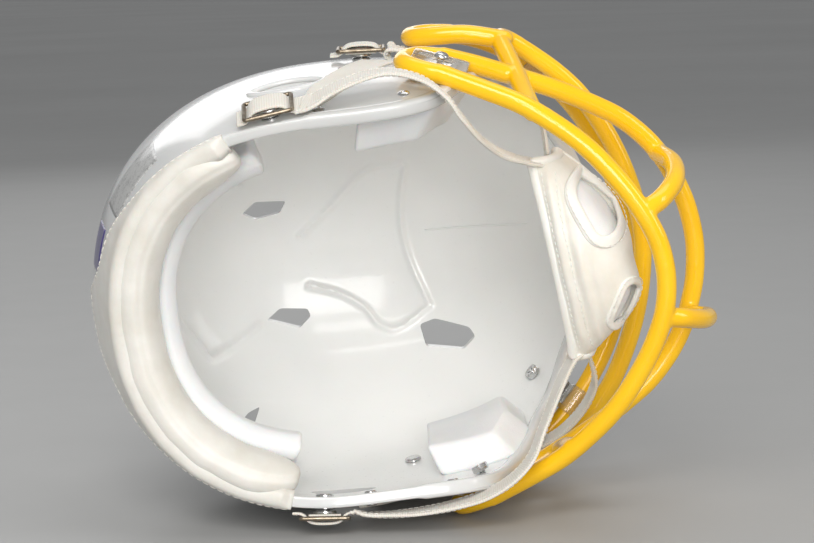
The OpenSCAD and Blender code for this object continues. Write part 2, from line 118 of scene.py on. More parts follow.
def lat_of(z):
    z = np.asarray(z, float)
    above = np.arcsin(np.clip(z / CROWN, 0, 1) ** (1 / EXP))
    below = -np.arcsin(np.clip(-z / SKIRT, 0, 1))
    return np.where(z >= 0, above, below)


def skin(th, lat, off=0.0):
    th, lat, off = np.broadcast_arrays(np.asarray(th, float), np.asarray(lat, float), np.asarray(off, float))
    t, s = np.radians(th), np.sin(lat)
    up = lat >= 0
    sp = np.where(up, np.abs(s) ** EXP, 0)
    z0 = np.where(up, CROWN * sp, SKIRT * s)
    lev = np.where(up, np.clip(np.cos(lat), 0, 1) ** EXP, np.cos(lat))
    r = (ring_r(t, z0) + off) * lev
    height = np.where(up, (CROWN + off) * sp, (SKIRT + off) * s)
    return np.stack([AXIS_X + r * np.cos(t), r * np.sin(t), height], -1)


def spline(pts, k):
    p = np.array(pts, float)
    p = np.vstack([2 * p[0] - p[1], p, 2 * p[-1] - p[-2]])
    out = []
    for i in range(1, len(p) - 2):
        t = (np.arange(k) / k)[:, None]
        a, b, c, d = p[i - 1:i + 3]
        square = (2 * a - 5 * b + 4 * c - d) * t ** 2
        cube = (3 * b - a - 3 * c + d) * t ** 3
        out.append(0.5 * (2 * b + (c - a) * t + square + cube))
    return np.vstack(out + [p[-2:-1]])


def unit(v):
    return v / np.maximum(np.linalg.norm(v, axis=-1, keepdims=True), 1e-12)


def arc_length(p):
    """Distance along a line of points, from its start to each point."""
    return np.concatenate([[0], np.cumsum(np.linalg.norm(np.diff(p, axis=0), axis=1))])


def full_turn(n):
    return np.linspace(0, 2 * math.pi, n, endpoint=False)


def signed_power(v, power):
    return np.sign(v) * np.abs(v) ** power


def softened(p):
    """A closed line of points, each one blended with its two neighbours."""
    return (np.roll(p, 1, 0) + 2 * p + np.roll(p, -1, 0)) / 4


def seat(th, z, side):
    lat = float(lat_of(z))
    p = skin(th, lat)
    t = unit(skin(th - 1, lat) - skin(th + 1, lat))
    u = unit(skin(th, lat + 0.02) - skin(th, lat - 0.02))
    n = unit(np.cross(u, t))
    b = np.cross(n, t)
    f = np.array([1, side, 1])
    return p * f, t * f, b * f * side, n * f


def mirrored(p):
    return [(x, -y, z) for x, y, z in p]


def both(p):
    return mirrored(p)[:0:-1] + list(p)


# ---------------------------------------------------------------- mesh helpers
def make(name, verts, faces, material, uv=None, smooth=True, helmet=True):
    mesh = bpy.data.meshes.new(name)
    verts = row(verts) if helmet else np.asarray(verts)
    mesh.from_pydata([tuple(v) for v in verts.tolist()], [], faces)
    if uv is not None:
        layer = mesh.uv_layers.new(name="UVMap")
        flat = np.asarray(uv, float)[[i for f in faces for i in f]]
        layer.data.foreach_set("uv", flat.ravel())
    mesh.update()
    bm = bmesh.new()
    bm.from_mesh(mesh)
    bmesh.ops.recalc_face_normals(bm, faces=bm.faces)
    bm.to_mesh(mesh)
    bm.free()
    mesh.polygons.foreach_set("use_smooth", [smooth] * len(mesh.polygons))
    ob = bpy.data.objects.new(name, mesh)
    scene.collection.objects.link(ob)
    if material:
        mesh.materials.append(material)
    return ob


def grid_faces(k, m):
    """Faces between k rings of m points each, and a cap at both ends."""
    faces = []
    for i in range(k - 1):
        for j in range(m):
            a, b = i * m + j, i * m + (j + 1) % m
            faces.append((a, b, b + m, a + m))
    faces.append(tuple(range(m - 1, -1, -1)))
    faces.append(tuple(range((k - 1) * m, k * m)))
    return faces


def ring_faces(k, m):
    """Faces between k rings of m points each, the last ring joined to the first."""
    faces = []
    for i in range(k):
        for j in range(m):
            a, c = i * m, ((i + 1) % k) * m
            faces.append((a + j, a + (j + 1) % m, c + (j + 1) % m, c + j))
    return faces


def loft(name, rings, material, uv=None, smooth=True):
    rings = np.asarray(rings, float)
    k, m = rings.shape[:2]
    if uv is None:
        along = arc_length(rings.mean(1))
        around = arc_length(rings[k // 2])
        uv = np.stack(np.meshgrid(along, around, indexing="ij"), -1).reshape(-1, 2)
    return make(name, rings.reshape(-1, 3), grid_faces(k, m), material, uv, smooth)


def frames_along(p, ref):
    t = unit(np.gradient(p, axis=0))
    ref = np.broadcast_to(np.asarray(ref, float), p.shape)
    a = unit(np.cross(ref, t))
    return t, a, np.cross(t, a)


def tube_rings(p, r, ref=(0, 0, 1), n=20, round_ends=True):
    t, a, b = frames_along(p, ref)
    ang = full_turn(n)
    circle = np.cos(ang)[:, None, None] * a[None] - np.sin(ang)[:, None, None] * b[None]
    rings = p[:, None] + r * circle.transpose(1, 0, 2)
    if round_ends:
        head, tail = [], []
        for q in (80, 60, 40, 20):
            c, s = math.cos(math.radians(q)), math.sin(math.radians(q))
            head.append(p[0] - t[0] * r * s + (rings[0] - p[0]) * c)
            tail.insert(0, p[-1] + t[-1] * r * s + (rings[-1] - p[-1]) * c)
        rings = np.concatenate([head, rings, tail])
    return rings


def lathe(name, profile, material, place, n=48):
    prof = np.array(profile, float)
    ang = full_turn(n)
    rings = np.stack([np.outer(prof[:, 0], np.cos(ang)), np.outer(prof[:, 0], np.sin(ang)),
                      np.repeat(prof[:, 1:2], n, 1)], -1)
    return make(name, place(rings.reshape(-1, 3)), grid_faces(len(prof), n), material)


def join(name, obs):
    bpy.ops.object.select_all(action="DESELECT")
    for o in obs:
        o.select_set(True)
    bpy.context.view_layer.objects.active = obs[0]
    if len(obs) > 1:
        bpy.ops.object.join()
    obs[0].name = name
    obs[0].data.name = name
    return obs[0]


def apply(ob):
    bpy.context.view_layer.update()
    done = bpy.data.meshes.new_from_object(ob.evaluated_get(bpy.context.evaluated_depsgraph_get()))
    ob.modifiers.clear()
    old, ob.data = ob.data, done
    bpy.data.meshes.remove(old)
    return ob


def cut(ob, cutter):
    mod = ob.modifiers.new("cut", "BOOLEAN")
    mod.operation, mod.object, mod.solver = "DIFFERENCE", cutter, "MANIFOLD"
    apply(ob)
    bpy.data.objects.remove(cutter)


def crease(ob, degrees):
    bm = bmesh.new()
    bm.from_mesh(ob.data)
    limit = math.radians(degrees)
    for e in bm.edges:
        e.smooth = not (len(e.link_faces) == 2 and e.calc_face_angle(0) > limit)
    bm.to_mesh(ob.data)
    bm.free()


def finish(ob, body, nodes):
    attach(ob, body)
    if nodes:
        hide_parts(*nodes)
    return ob


# ---------------------------------------------------------------- materials
class Shade:
    def __init__(self, name):
        self.mat = bpy.data.materials.new(name)
        self.mat.use_nodes = True
        self.tree = self.mat.node_tree
        self.bsdf = self.tree.nodes["Principled BSDF"]
        self.coord = self.tree.nodes.new("ShaderNodeTexCoord")
        self.last_normal = None

    def link(self, a, b):
        self.tree.links.new(a, b)

    def noise(self, scale, detail=3.0, rough=0.5):
        n = self.tree.nodes.new("ShaderNodeTexNoise")
        n.inputs["Scale"].default_value = scale
        n.inputs["Detail"].default_value = detail
        n.inputs["Roughness"].default_value = rough
        self.link(self.coord.outputs["Object"], n.inputs["Vector"])
        return n.outputs["Fac"]

    def voronoi(self, scale, feature="F1"):
        n = self.tree.nodes.new("ShaderNodeTexVoronoi")
        n.feature = feature
        n.inputs["Scale"].default_value = scale
        self.link(self.coord.outputs["Object"], n.inputs["Vector"])
        return n.outputs["Distance"]

    def wave(self, scale, direction, distortion=0.0):
        n = self.tree.nodes.new("ShaderNodeTexWave")
        n.bands_direction = direction
        n.inputs["Scale"].default_value = scale
        n.inputs["Distortion"].default_value = distortion
        self.link(self.coord.outputs["UV"], n.inputs["Vector"])
        return n.outputs["Fac"]

    def math(self, op, a, b):
        n = self.tree.nodes.new("ShaderNodeMath")
        n.operation = op
        for i, v in enumerate((a, b)):
            if isinstance(v, (int, float)):
                n.inputs[i].default_value = v
            else:
                self.link(v, n.inputs[i])
        return n.outputs[0]

    def ramp(self, fac, stops):
        n = self.tree.nodes.new("ShaderNodeValToRGB")
        while len(n.color_ramp.elements) < len(stops):
            n.color_ramp.elements.new(0.5)
        for e, (pos, col) in zip(n.color_ramp.elements, stops):
            e.position = pos
            e.color = (*col, 1)
        self.link(fac, n.inputs["Fac"])
        return n.outputs["Color"]

    def colour(self, fac, stops):
        self.link(self.ramp(fac, stops), self.bsdf.inputs["Base Color"])

    def rough(self, fac, low, high):
        m = self.tree.nodes.new("ShaderNodeMapRange")
        m.inputs["To Min"].default_value, m.inputs["To Max"].default_value = low, high
        self.link(fac, m.inputs["Value"])
        self.link(m.outputs["Result"], self.bsdf.inputs["Roughness"])

    def bump(self, height, strength, distance):
        b = self.tree.nodes.new("ShaderNodeBump")
        b.inputs["Strength"].default_value, b.inputs["Distance"].default_value = strength, distance
        self.link(height, b.inputs["Height"])
        if self.last_normal:
            self.link(self.last_normal, b.inputs["Normal"])
        self.last_normal = b.outputs["Normal"]
        self.link(self.last_normal, self.bsdf.inputs["Normal"])

    def set(self, **values):
        for k, v in values.items():
            self.bsdf.inputs[k.replace("_", " ")].default_value = v


def plastic_white(name, rough_low, rough_high, peel, tones):
    s = Shade(name)
    low, high = tones
    s.colour(s.noise(35, 2), [(0.3, low), (0.7, high)])
    s.rough(s.noise(900, 4, 0.7), rough_low, rough_high)
    s.bump(s.noise(260, 2), peel, 0.0004)
    s.bump(s.noise(5000, 2), 0.12, 0.00003)
    s.set(Coat_Weight=0.35, Coat_Roughness=0.08, Subsurface_Weight=0.05, Subsurface_Scale=0.002, IOR=1.5)
    return s.mat


def mask_coat():
    s = Shade("mask_coating")
    s.colour(s.noise(60, 3), [(0.25, (0.93, 0.50, 0.004)), (0.75, (0.98, 0.58, 0.010))])
    s.rough(s.noise(700, 5, 0.7), 0.12, 0.26)
    s.bump(s.noise(140, 2), 0.25, 0.0005)
    s.bump(s.noise(1800, 3, 0.6), 0.12, 0.00006)
    s.set(Coat_Weight=0.35, Coat_Roughness=0.05, IOR=1.42)
    return s.mat


def vinyl(name, dark, light, grain=1900.0, wrinkle=0.5, rough=(0.38, 0.55)):
    s = Shade(name)
    s.colour(s.noise(90, 4, 0.6), [(0.25, dark), (0.75, light)])
    s.rough(s.noise(500, 3), *rough)
    s.bump(s.noise(130, 3, 0.6), wrinkle, 0.0007)
    s.bump(s.voronoi(grain, "DISTANCE_TO_EDGE"), 0.35, 0.00008)
    s.bump(s.noise(6000, 2), 0.2, 0.00003)
    s.set(Coat_Weight=0.15, Coat_Roughness=0.35, Subsurface_Weight=0.1, Subsurface_Scale=0.0015,
          Sheen_Weight=0.1, Sheen_Roughness=0.4)
    return s.mat


def foam():
    s = Shade("pad_foam")
    s.colour(s.noise(70, 3), [(0.3, (0.76, 0.77, 0.78)), (0.7, (0.83, 0.835, 0.84))])
    s.rough(s.noise(400, 3), 0.6, 0.85)
    s.bump(s.voronoi(2600), 0.35, 0.00012)
    s.bump(s.noise(160, 3), 0.3, 0.0006)
    s.set(Subsurface_Weight=0.25, Subsurface_Scale=0.002, Sheen_Weight=0.15)
    return s.mat


def webbing():
    """Plain weave in the strap's own length and width, in mm."""
    s = Shade("strap_webbing")
    warp = s.wave(0.55, "Y")
    weft = s.wave(0.5, "X")
    weave = s.math("MULTIPLY", warp, weft)
    fuzz = s.noise(3000, 3, 0.7)
    tone = s.math("ADD", s.math("MULTIPLY", weave, 0.55), s.math("MULTIPLY", s.noise(120, 3), 0.5))
    s.colour(tone, [(0.15, (0.66, 0.62, 0.54)), (0.75, (0.83, 0.80, 0.74))])
    s.rough(fuzz, 0.6, 0.85)
    s.bump(weave, 0.5, 0.00018)
    s.bump(fuzz, 0.25, 0.00005)
    s.set(Sheen_Weight=0.25, Sheen_Roughness=0.5, Subsurface_Weight=0.12, Subsurface_Scale=0.001)
    return s.mat


def metal(name, dark, light, rough=(0.18, 0.4)):
    s = Shade(name)
    s.colour(s.noise(420, 5, 0.7), [(0.3, dark), (0.7, light)])
    s.rough(s.noise(1500, 4, 0.6), *rough)
    s.bump(s.noise(3500, 3), 0.15, 0.00004)
    s.set(Metallic=1.0)
    return s.mat


def clear():
    s = Shade("clear_plastic")
    s.colour(s.noise(200, 2), [(0.3, (0.93, 0.93, 0.90)), (0.7, (0.98, 0.98, 0.97))])
    s.rough(s.noise(900, 4), 0.05, 0.16)
    s.bump(s.noise(300, 3), 0.25, 0.0003)
    s.set(Transmission_Weight=0.92, IOR=1.46)
    return s.mat


def thread():
    s = Shade("thread")
    s.colour(s.noise(800, 2), [(0.3, (0.74, 0.71, 0.64)), (0.7, (0.84, 0.82, 0.77))])
    s.rough(s.noise(2000, 2), 0.5, 0.7)
    s.bump(s.wave(1.6, "X", distortion=1.0), 0.5, 0.0001)
    s.set(Sheen_Weight=0.3)
    return s.mat


def printed(name, tone_dark, tone_light):
    """Blank label: a fine half-tone tint under a clear film, with no marks."""
    s = Shade(name)
    dots = s.voronoi(1500)
    tint = s.math("ADD", s.math("MULTIPLY", dots, 0.8), s.noise(300, 2))
    s.colour(tint, [(0.35, tone_dark), (0.95, tone_light)])
    s.rough(s.noise(700, 3), 0.22, 0.4)
    s.bump(s.noise(500, 3), 0.05, 0.0001)
    s.set(Coat_Weight=0.3, Coat_Roughness=0.1)
    return s.mat


# One white plastic in two copies: the outside's darker tones are painted shade and the inside's lighter tones
# are painted light. The inside is also rougher, with a deeper peel.
SHELL_OUT_PAINTED_SHADE = plastic_white("shell_outside_painted_shade", 0.1, 0.22, 0.06, ((0.63, 0.635, 0.63), (0.69, 0.69, 0.68)))
SHELL_IN_PAINTED_LIGHT = plastic_white("shell_inside_painted_light", 0.22, 0.38, 0.12, ((0.83, 0.84, 0.83), (0.88, 0.885, 0.875)))
GOLD = mask_coat()
ROLL_VINYL = vinyl("roll_vinyl", (0.67, 0.64, 0.575), (0.79, 0.77, 0.725), 2200, 0.25)
CUP_VINYL = vinyl("cup_vinyl", (0.74, 0.71, 0.63), (0.86, 0.84, 0.79), 2600, 0.45)
CUP_BIND = vinyl("cup_binding", (0.80, 0.785, 0.73), (0.88, 0.87, 0.83), 3200, 0.3)
LINING = foam()
LINING.name = "cup_lining"
FOAM = foam()
WEB = webbing()
NICKEL = metal("buckle_nickel", (0.13, 0.095, 0.06), (0.42, 0.36, 0.28), (0.22, 0.45))
SNAP = metal("snap_nickel", (0.55, 0.54, 0.52), (0.75, 0.74, 0.72), (0.15, 0.3))
STEEL = metal("screw_steel", (0.50, 0.50, 0.50), (0.74, 0.74, 0.74), (0.15, 0.35))
CLEAR = clear()
THREAD = thread()
LABEL = printed("label_grey", (0.10, 0.10, 0.10), (0.46, 0.46, 0.45))
PATCH = vinyl("patch_violet", (0.035, 0.025, 0.13), (0.07, 0.055, 0.22), 2500, 0.1, (0.25, 0.35))


# ---------------------------------------------------------------- soft boxes, pads, stitching
def soft_box(half, r, n=10, crown=0.0):
    """Verts and faces of a rounded box, edges rounded to r, its two broad faces swollen by crown."""
    half = np.array(half, float)
    s = np.linspace(-1, 1, n + 1)
    s = np.sign(s) * (1 - (1 - np.abs(s)) ** 1.5)
    verts, faces = [], []
    for axis in range(3):
        for side in (-1, 1):
            a, b = np.meshgrid(s, s, indexing="ij")
            p = np.zeros((n + 1, n + 1, 3))
            p[..., axis] = side
            p[..., (axis + 1) % 3], p[..., (axis + 2) % 3] = a, b
            base = sum(len(v) for v in verts)
            verts.append(p.reshape(-1, 3))
            for i in range(n):
                for j in range(n):
                    k = base + i * (n + 1) + j
                    f = (k, k + n + 1, k + n + 2, k + 1)
                    faces.append(f if side > 0 else f[::-1])
    unit_p = np.vstack(verts)
    p = unit_p * half
    q = np.clip(p, -(half - r), half - r)
    d = p - q
    length = np.linalg.norm(d, axis=1, keepdims=True)
    p = np.where(length > 1e-9, q + r * d / np.maximum(length, 1e-9), p)
    x, y, z = unit_p.T
    p[:, 2] += crown * np.sign(z) * np.abs(z) * (1 - x ** 2) * (1 - y ** 2)
    return p, faces


def weld(ob, dist=0.00002):
    bm = bmesh.new()
    bm.from_mesh(ob.data)
    bmesh.ops.remove_doubles(bm, verts=bm.verts, dist=dist)
    bmesh.ops.recalc_face_normals(bm, faces=bm.faces)
    bm.to_mesh(ob.data)
    bm.free()
    return ob


def remesh(ob, voxel, rounds, factor=0.5):
    mod = ob.modifiers.new("remesh", "REMESH")
    mod.mode, mod.voxel_size, mod.use_smooth_shade = "VOXEL", voxel, True
    mod = ob.modifiers.new("smooth", "SMOOTH")
    mod.factor, mod.iterations = factor, rounds
    return apply(ob)


def skin_pad(name, th, z, off, r, material, n=26, crown=0.0):
    """Rounded pad on the shell: th, z and off are (low, high) pairs."""
    mid = skin(sum(th) / 2, float(lat_of(sum(z) / 2)))
    radius = math.hypot(mid[0] - AXIS_X, mid[1])
    half = (radius * math.radians(abs(th[1] - th[0])) / 2, (z[1] - z[0]) / 2, (off[1] - off[0]) / 2)
    p, faces = soft_box(half, r, n, crown)
    t = (th[0] + th[1]) / 2 + p[:, 0] / half[0] * (th[1] - th[0]) / 2
    low = np.maximum(z[0], np.interp(np.abs(t), RIM_TH, RIM_Z) + 1.5)
    height = low + (z[1] - low) * (p[:, 1] / half[1] + 1) / 2
    verts = skin(t, lat_of(height), (off[0] + off[1]) / 2 + p[:, 2])
    return weld(make(name, verts, faces, material))


def stitches(name, path, normal, spacing, length, r, lift=0.05, material=None):
    """Thread dashes along a path, each a small capsule pressed into the surface."""
    path, normal = np.asarray(path, float), np.asarray(normal, float)
    s = arc_length(path)

    def along(line, at):
        return np.array([np.interp(at, s, line[:, k]) for k in range(3)])

    verts, faces = [], []
    for at in np.arange(spacing / 2, s[-1] - length, spacing):
        ends = [along(path, at + e) for e in (0, length / 2, length)]
        n = unit(along(normal, at))
        pts = np.array([ends[0] - n * r * 0.8, ends[0] + n * lift, ends[1] + n * (lift + r * 0.3),
                        ends[2] + n * lift, ends[2] - n * r * 0.8])
        rings = tube_rings(pts, r, ref=n + np.array([0.01, 0.02, 0.03]), n=6, round_ends=False)
        base = sum(len(v) for v in verts)
        verts.append(rings.reshape(-1, 3))
        faces += [tuple(i + base for i in f) for f in grid_faces(len(pts), 6)]
    return make(name, np.vstack(verts), faces, material or THREAD)


def strip(path, normal, half_w, half_t, power=0.55, n=16, closed=False):
    """Rings of a flat rounded band along a path, lying in the plane square to normal."""
    path, normal = np.asarray(path, float), unit(np.asarray(normal, float))
    if closed:
        t = unit(np.roll(path, -1, 0) - np.roll(path, 1, 0))
    else:
        t = unit(np.gradient(path, axis=0))
    side = unit(np.cross(normal, t))
    up = np.cross(t, side)
    ang = full_turn(n)
    c, s = np.cos(ang), np.sin(ang)
    a, b = signed_power(c, power), signed_power(s, power)
    half_w, half_t = (np.broadcast_to(h, (len(path),))[:, None, None] for h in (half_w, half_t))
    across = half_w * a[None, :, None] * side[:, None]
    return path[:, None] + across + half_t * b[None, :, None] * up[:, None]


def closed_band(name, rings, material):
    k, m = rings.shape[:2]
    along = arc_length(rings.mean(1))
    uv = np.stack(np.meshgrid(along, np.linspace(0, 4, m), indexing="ij"), -1).reshape(-1, 2)
    return make(name, rings.reshape(-1, 3), ring_faces(k, m), material, uv)


# ---------------------------------------------------------------- shell
# Wall thickness, and the moulded lines: grooves outside that stand as ridges inside.
WALL, RIDGE_WIDTH, GROOVE_DEPTH, RIDGE_DEPTH = 2.6, 0.9, 0.3, 0.75
RIDGES = [
    [(-19.5, -3, 54.7), (-8.6, -11.5, 54.9), (2.5, -20.5, 52.6), (14, -21.4, 51.2)],
    [(14.6, -20.7, 51.4), (12, -9.9, 54), (11.3, 0.2, 54.5), (12.8, 10, 53.8), (16.7, 22.3, 50.3)],
    [(-19, 12.3, 54), (-10, 16, 54), (-3, 21, 52.7), (1, 26.5, 50.4), (6.8, 28, 49.5), (16.7, 22.3, 50.3)],
    [(-57, 14.4, 36), (-52, 22.8, 37), (-49, 27, 37), (-41, 24.4, 44), (-35, 21.4, 48)],
    [(-57, -14.4, 36), (-52, -22.8, 37), (-49, -27, 37), (-41, -24.4, 44), (-35, -21.4, 48)],
    [(-44, 37.5, 30), (-34, 40, 34), (-22, 42, 36)],
]


def ridge_height(p, width):
    best = np.full(len(p), 1e9)
    for line in RIDGES:
        q = spline(line, 6)
        for a, b in zip(q[:-1], q[1:]):
            ab = b - a
            t = np.clip(((p - a) @ ab) / (ab @ ab), 0, 1)
            best = np.minimum(best, np.linalg.norm(p - a - t[:, None] * ab, axis=1))
    return np.exp(-(best / width) ** 2)


def shell_layer(off, cols, rows, relief):
    th_rim, z_rim = cols
    m = len(th_rim)
    v = np.linspace(0, 1, rows + 1)[:-1][:, None]
    th_end = 180 * np.arange(m) / (m - 1)
    lat_rim = lat_of(z_rim)
    halves = [(1, slice(None)), (-1, slice(m - 2, 0, -1))]
    th_half = th_rim + (th_end - th_rim) * ease(v)
    lat_half = lat_rim + (math.pi / 2 - lat_rim) * v
    th = np.concatenate([s * th_half[:, k] for s, k in halves], 1)
    lat = np.concatenate([lat_half[:, k] for _, k in halves], 1)
    p = skin(th, lat, off).reshape(-1, 3)
    if relief:
        h = ridge_height(p, RIDGE_WIDTH)
        p = skin(th, lat, off + relief * h.reshape(th.shape)).reshape(-1, 3)
    return np.vstack([p, [[AXIS_X, 0, CROWN + off]]]), th.shape[1]


rim_cols = spline(RIM, 13).T
ROWS = 170
outer, COLS = shell_layer(0, rim_cols, ROWS, -GROOVE_DEPTH)
inner, _ = shell_layer(-WALL, rim_cols, ROWS, -RIDGE_DEPTH)
faces = []
base = len(outer)
for i in range(ROWS - 1):
    for j in range(COLS):
        a, b = i * COLS + j, i * COLS + (j + 1) % COLS
        faces.append((a, b, b + COLS, a + COLS))
        faces.append((base + a, base + a + COLS, base + b + COLS, base + b))
for j in range(COLS):
    a, b = (ROWS - 1) * COLS + j, (ROWS - 1) * COLS + (j + 1) % COLS
    faces.append((a, b, base - 1))
    faces.append((base + a, 2 * base - 1, base + b))
    faces.append((j, base + j, base + (j + 1) % COLS, (j + 1) % COLS))
shell = make("shell_moulded", np.vstack([outer, inner]), faces, SHELL_OUT_PAINTED_SHADE)
shell.data.materials.append(SHELL_IN_PAINTED_LIGHT)


def cut_outline(ob, outline, low, high):
    """Cuts a prism with a flat outline of helmet x, y points, from height low to high."""
    pts = np.array(outline, float)
    rings = [np.column_stack([pts, np.full(len(pts), z)]) for z in (low, high)]
    cut(ob, loft("cutter", rings, None, smooth=False))


def rounded_outline(corners, r, k=6):
    pts = []
    c = [np.array(p, float) for p in corners]
    for i, p in enumerate(c):
        a, b = c[i - 1] - p, c[(i + 1) % len(c)] - p
        a, b = a / np.linalg.norm(a), b / np.linalg.norm(b)
        for t in np.linspace(0, 1, k):
            pts.append((1 - t) ** 2 * (p + a * r) + 2 * t * (1 - t) * p + t * t * (p + b * r))
    return pts


EAR_X, EAR_Z = -12.5, -27.0
BACK_VENTS = {1: [(-32.5, 20.4), (-28.3, 17.7), (-20.1, 19.1), (-19.4, 21.4), (-23.1, 24.3)],
              -1: [(-35.5, -12.4), (-31.3, -15.4), (-22.3, -14.2), (-24.5, -10.8), (-32, -10)]}
for s in (-1, 1):
    drop = 0 if s > 0 else 4.2
    front_vent = [(x, s * (y + drop)) for x, y in
                  ((12.9, 27.5), (17.5, 26.2), (27.6, 29.3), (29, 32), (25, 35.2), (14, 33.6))]
    cut_outline(shell, rounded_outline(front_vent, 1.0), 34, 60)
    back_vent = BACK_VENTS[s]
    cut_outline(shell, rounded_outline(back_vent, 0.8), 42, 62)
    side_vent = [(-43.2, s * 45.2), (-40.2, s * 43), (-36.8, s * 42.4), (-39.2, s * 47)]
    cut_outline(shell, rounded_outline(side_vent, 0.6), 12, 40)
    ang = full_turn(40)
    tall = np.where(np.sin(ang) > 0, 3.6, 4.4)
    lens = np.column_stack([EAR_X + 9 * np.cos(ang), EAR_Z + tall * signed_power(np.sin(ang), 1.2)])
    prism = [np.array([(x, s * y, z) for x, z in lens]) for y in (40, 70)]
    cut(shell, loft("cutter", prism, None, smooth=False))
weld(shell, 0.000005)
co = np.zeros(len(shell.data.vertices) * 3)
shell.data.vertices.foreach_get("co", co)
centre = row((AXIS_X, 0, -6))
# Inward faces take the copy with painted light, and outward faces take the copy with painted shade.
for poly in shell.data.polygons:
    poly.material_index = 1 if (np.array(poly.center) - centre) @ np.array(poly.normal) < 0 else 0
crease(shell, 40)
finish(shell, "helmet", ["shell"])


def rim_ring(th, z, half_n, half_d, drop, shift, n=18):
    """Rings round the shell's edge: half_n across the wall, half_d along it."""
    lat = lat_of(z)
    p = skin(th, lat, shift)
    up = unit(skin(th, lat + 0.01, shift) - p)
    along = unit(np.gradient(p, axis=0))
    normal = unit(np.cross(up, along))
    outward = p - np.array([AXIS_X, 0, 0])
    normal *= np.sign(np.sum(normal * outward, axis=1, keepdims=True))
    down = unit(np.cross(normal, along))
    down *= -np.sign(np.sum(down * up, axis=1, keepdims=True))
    ang = full_turn(n)
    a, b = signed_power(np.cos(ang), 0.5), signed_power(np.sin(ang), 0.5)
    across = half_n[:, None, None] * a[None, :, None] * normal[:, None]
    depth = half_d[:, None, None] * b[None, :, None] * down[:, None]
    return (p + down * drop[:, None])[:, None] + across + depth


full_rim = np.concatenate([rim_cols.T, rim_cols.T[-2:0:-1]])
signs = np.concatenate([np.ones(len(rim_cols.T)), -np.ones(len(rim_cols.T) - 2)])
th_full, z_full = full_rim[:, 0] * signs, full_rim[:, 1]
edge_x = skin(th_full, lat_of(z_full))[:, 0]
step = np.where(th_full < 0, ease((edge_x + 8.5) / 1.6), ease((edge_x - 8.5) / 1.6))
lip_rings = rim_ring(th_full, z_full, 1.5 + 0.45 * step, 0.75 + 1.0 * step, -0.35 - 0.9 * step, -WALL / 2)
lip = closed_band("rim_lip", lip_rings, SHELL_OUT_PAINTED_SHADE)
finish(lip, "helmet", [])

for s, tag in ((-1, "right"), (1, "left")):
    ang = full_turn(72)
    xs = EAR_X + 9.9 * np.cos(ang)
    zs = EAR_Z + np.where(np.sin(ang) > 0, 4.3, 5.2) * signed_power(np.sin(ang), 1.2)
    path, norm = [], []
    for x, z in zip(xs, zs):
        lat = float(lat_of(z))
        th = 90.0
        for _ in range(12):
            p = skin(th, lat)
            th += (p[0] - x) * 0.9
        p = skin(th, lat)
        n = seat(th, z, 1)[3]
        path.append((p[0], s * p[1], p[2]))
        norm.append((n[0], s * n[1], n[2]))
    bead = closed_band("ear_hole_lip_" + tag, strip(path, norm, 1.1, 0.75, 0.9, 14, True), SHELL_OUT_PAINTED_SHADE)
    finish(bead, "helmet", [])

seam_lat = np.linspace(math.radians(47), math.radians(74), 60)
seam_front = [skin(0.0, a, -2.62) for a in seam_lat]
seam_out = np.array(seam_front) - [AXIS_X, 0, 0]
seam = loft("mould_seam", strip(seam_front, seam_out, 0.3, 0.16, 0.8, 8), SHELL_IN_PAINTED_LIGHT)
finish(seam, "helmet", [])

# ---------------------------------------------------------------- neck roll, its flap, and the pads
RIM_TH, RIM_Z = rim_cols
FLAP = np.array([(0, -12), (6, -14.5), (10, -25), (13, -30), (16.5, -33), (23.5, -35.5), (29, -39),
                 (33.5, -42), (39, -44.5), (46, -46.2), (54, -48), (66, -50.6)], float)


def roll_piece():
    k = 220
    th = np.linspace(110.5, 244.5, k)
    i = np.arange(k)
    e = np.minimum(i, k - 1 - i) / 26
    f = 0.25 + 0.75 * np.sqrt(np.clip(1 - (1 - np.clip(e, 0, 1)) ** 2, 0, 1))
    h = np.where(th > 180, 360 - th, th)
    z = np.interp(h, RIM_TH, RIM_Z)
    p = skin(th, lat_of(z))
    o = np.stack([np.cos(np.radians(th)), np.sin(np.radians(th)), np.zeros(k)], -1)
    ang = full_turn(96)
    c, s = np.cos(ang), np.sin(ang)
    a, b = signed_power(c, 0.82), signed_power(s, 0.82)
    radial = -5.8 + 5.8 * f[:, None] * a
    up = 5.5 + 8.5 * f[:, None] * b
    under = np.clip(-s, 0, 1) ** 0.5
    seam_at = np.exp(-((radial + 7.1) / 0.75) ** 2) * under
    slope = np.clip(-(radial + 7.1) / 4.5, 0, 1) * under
    up = up + 0.5 * seam_at + 2.4 * slope
    rings = p[:, None] + o[:, None] * radial[..., None] + np.array([0, 0, 1.0]) * up[..., None]
    for v in rings.reshape(-1, 3):
        v += 0.22 * np.array(noise.noise_vector(Vector(v) * 0.16))
    return loft("neck_roll_cover", rings, ROLL_VINYL)


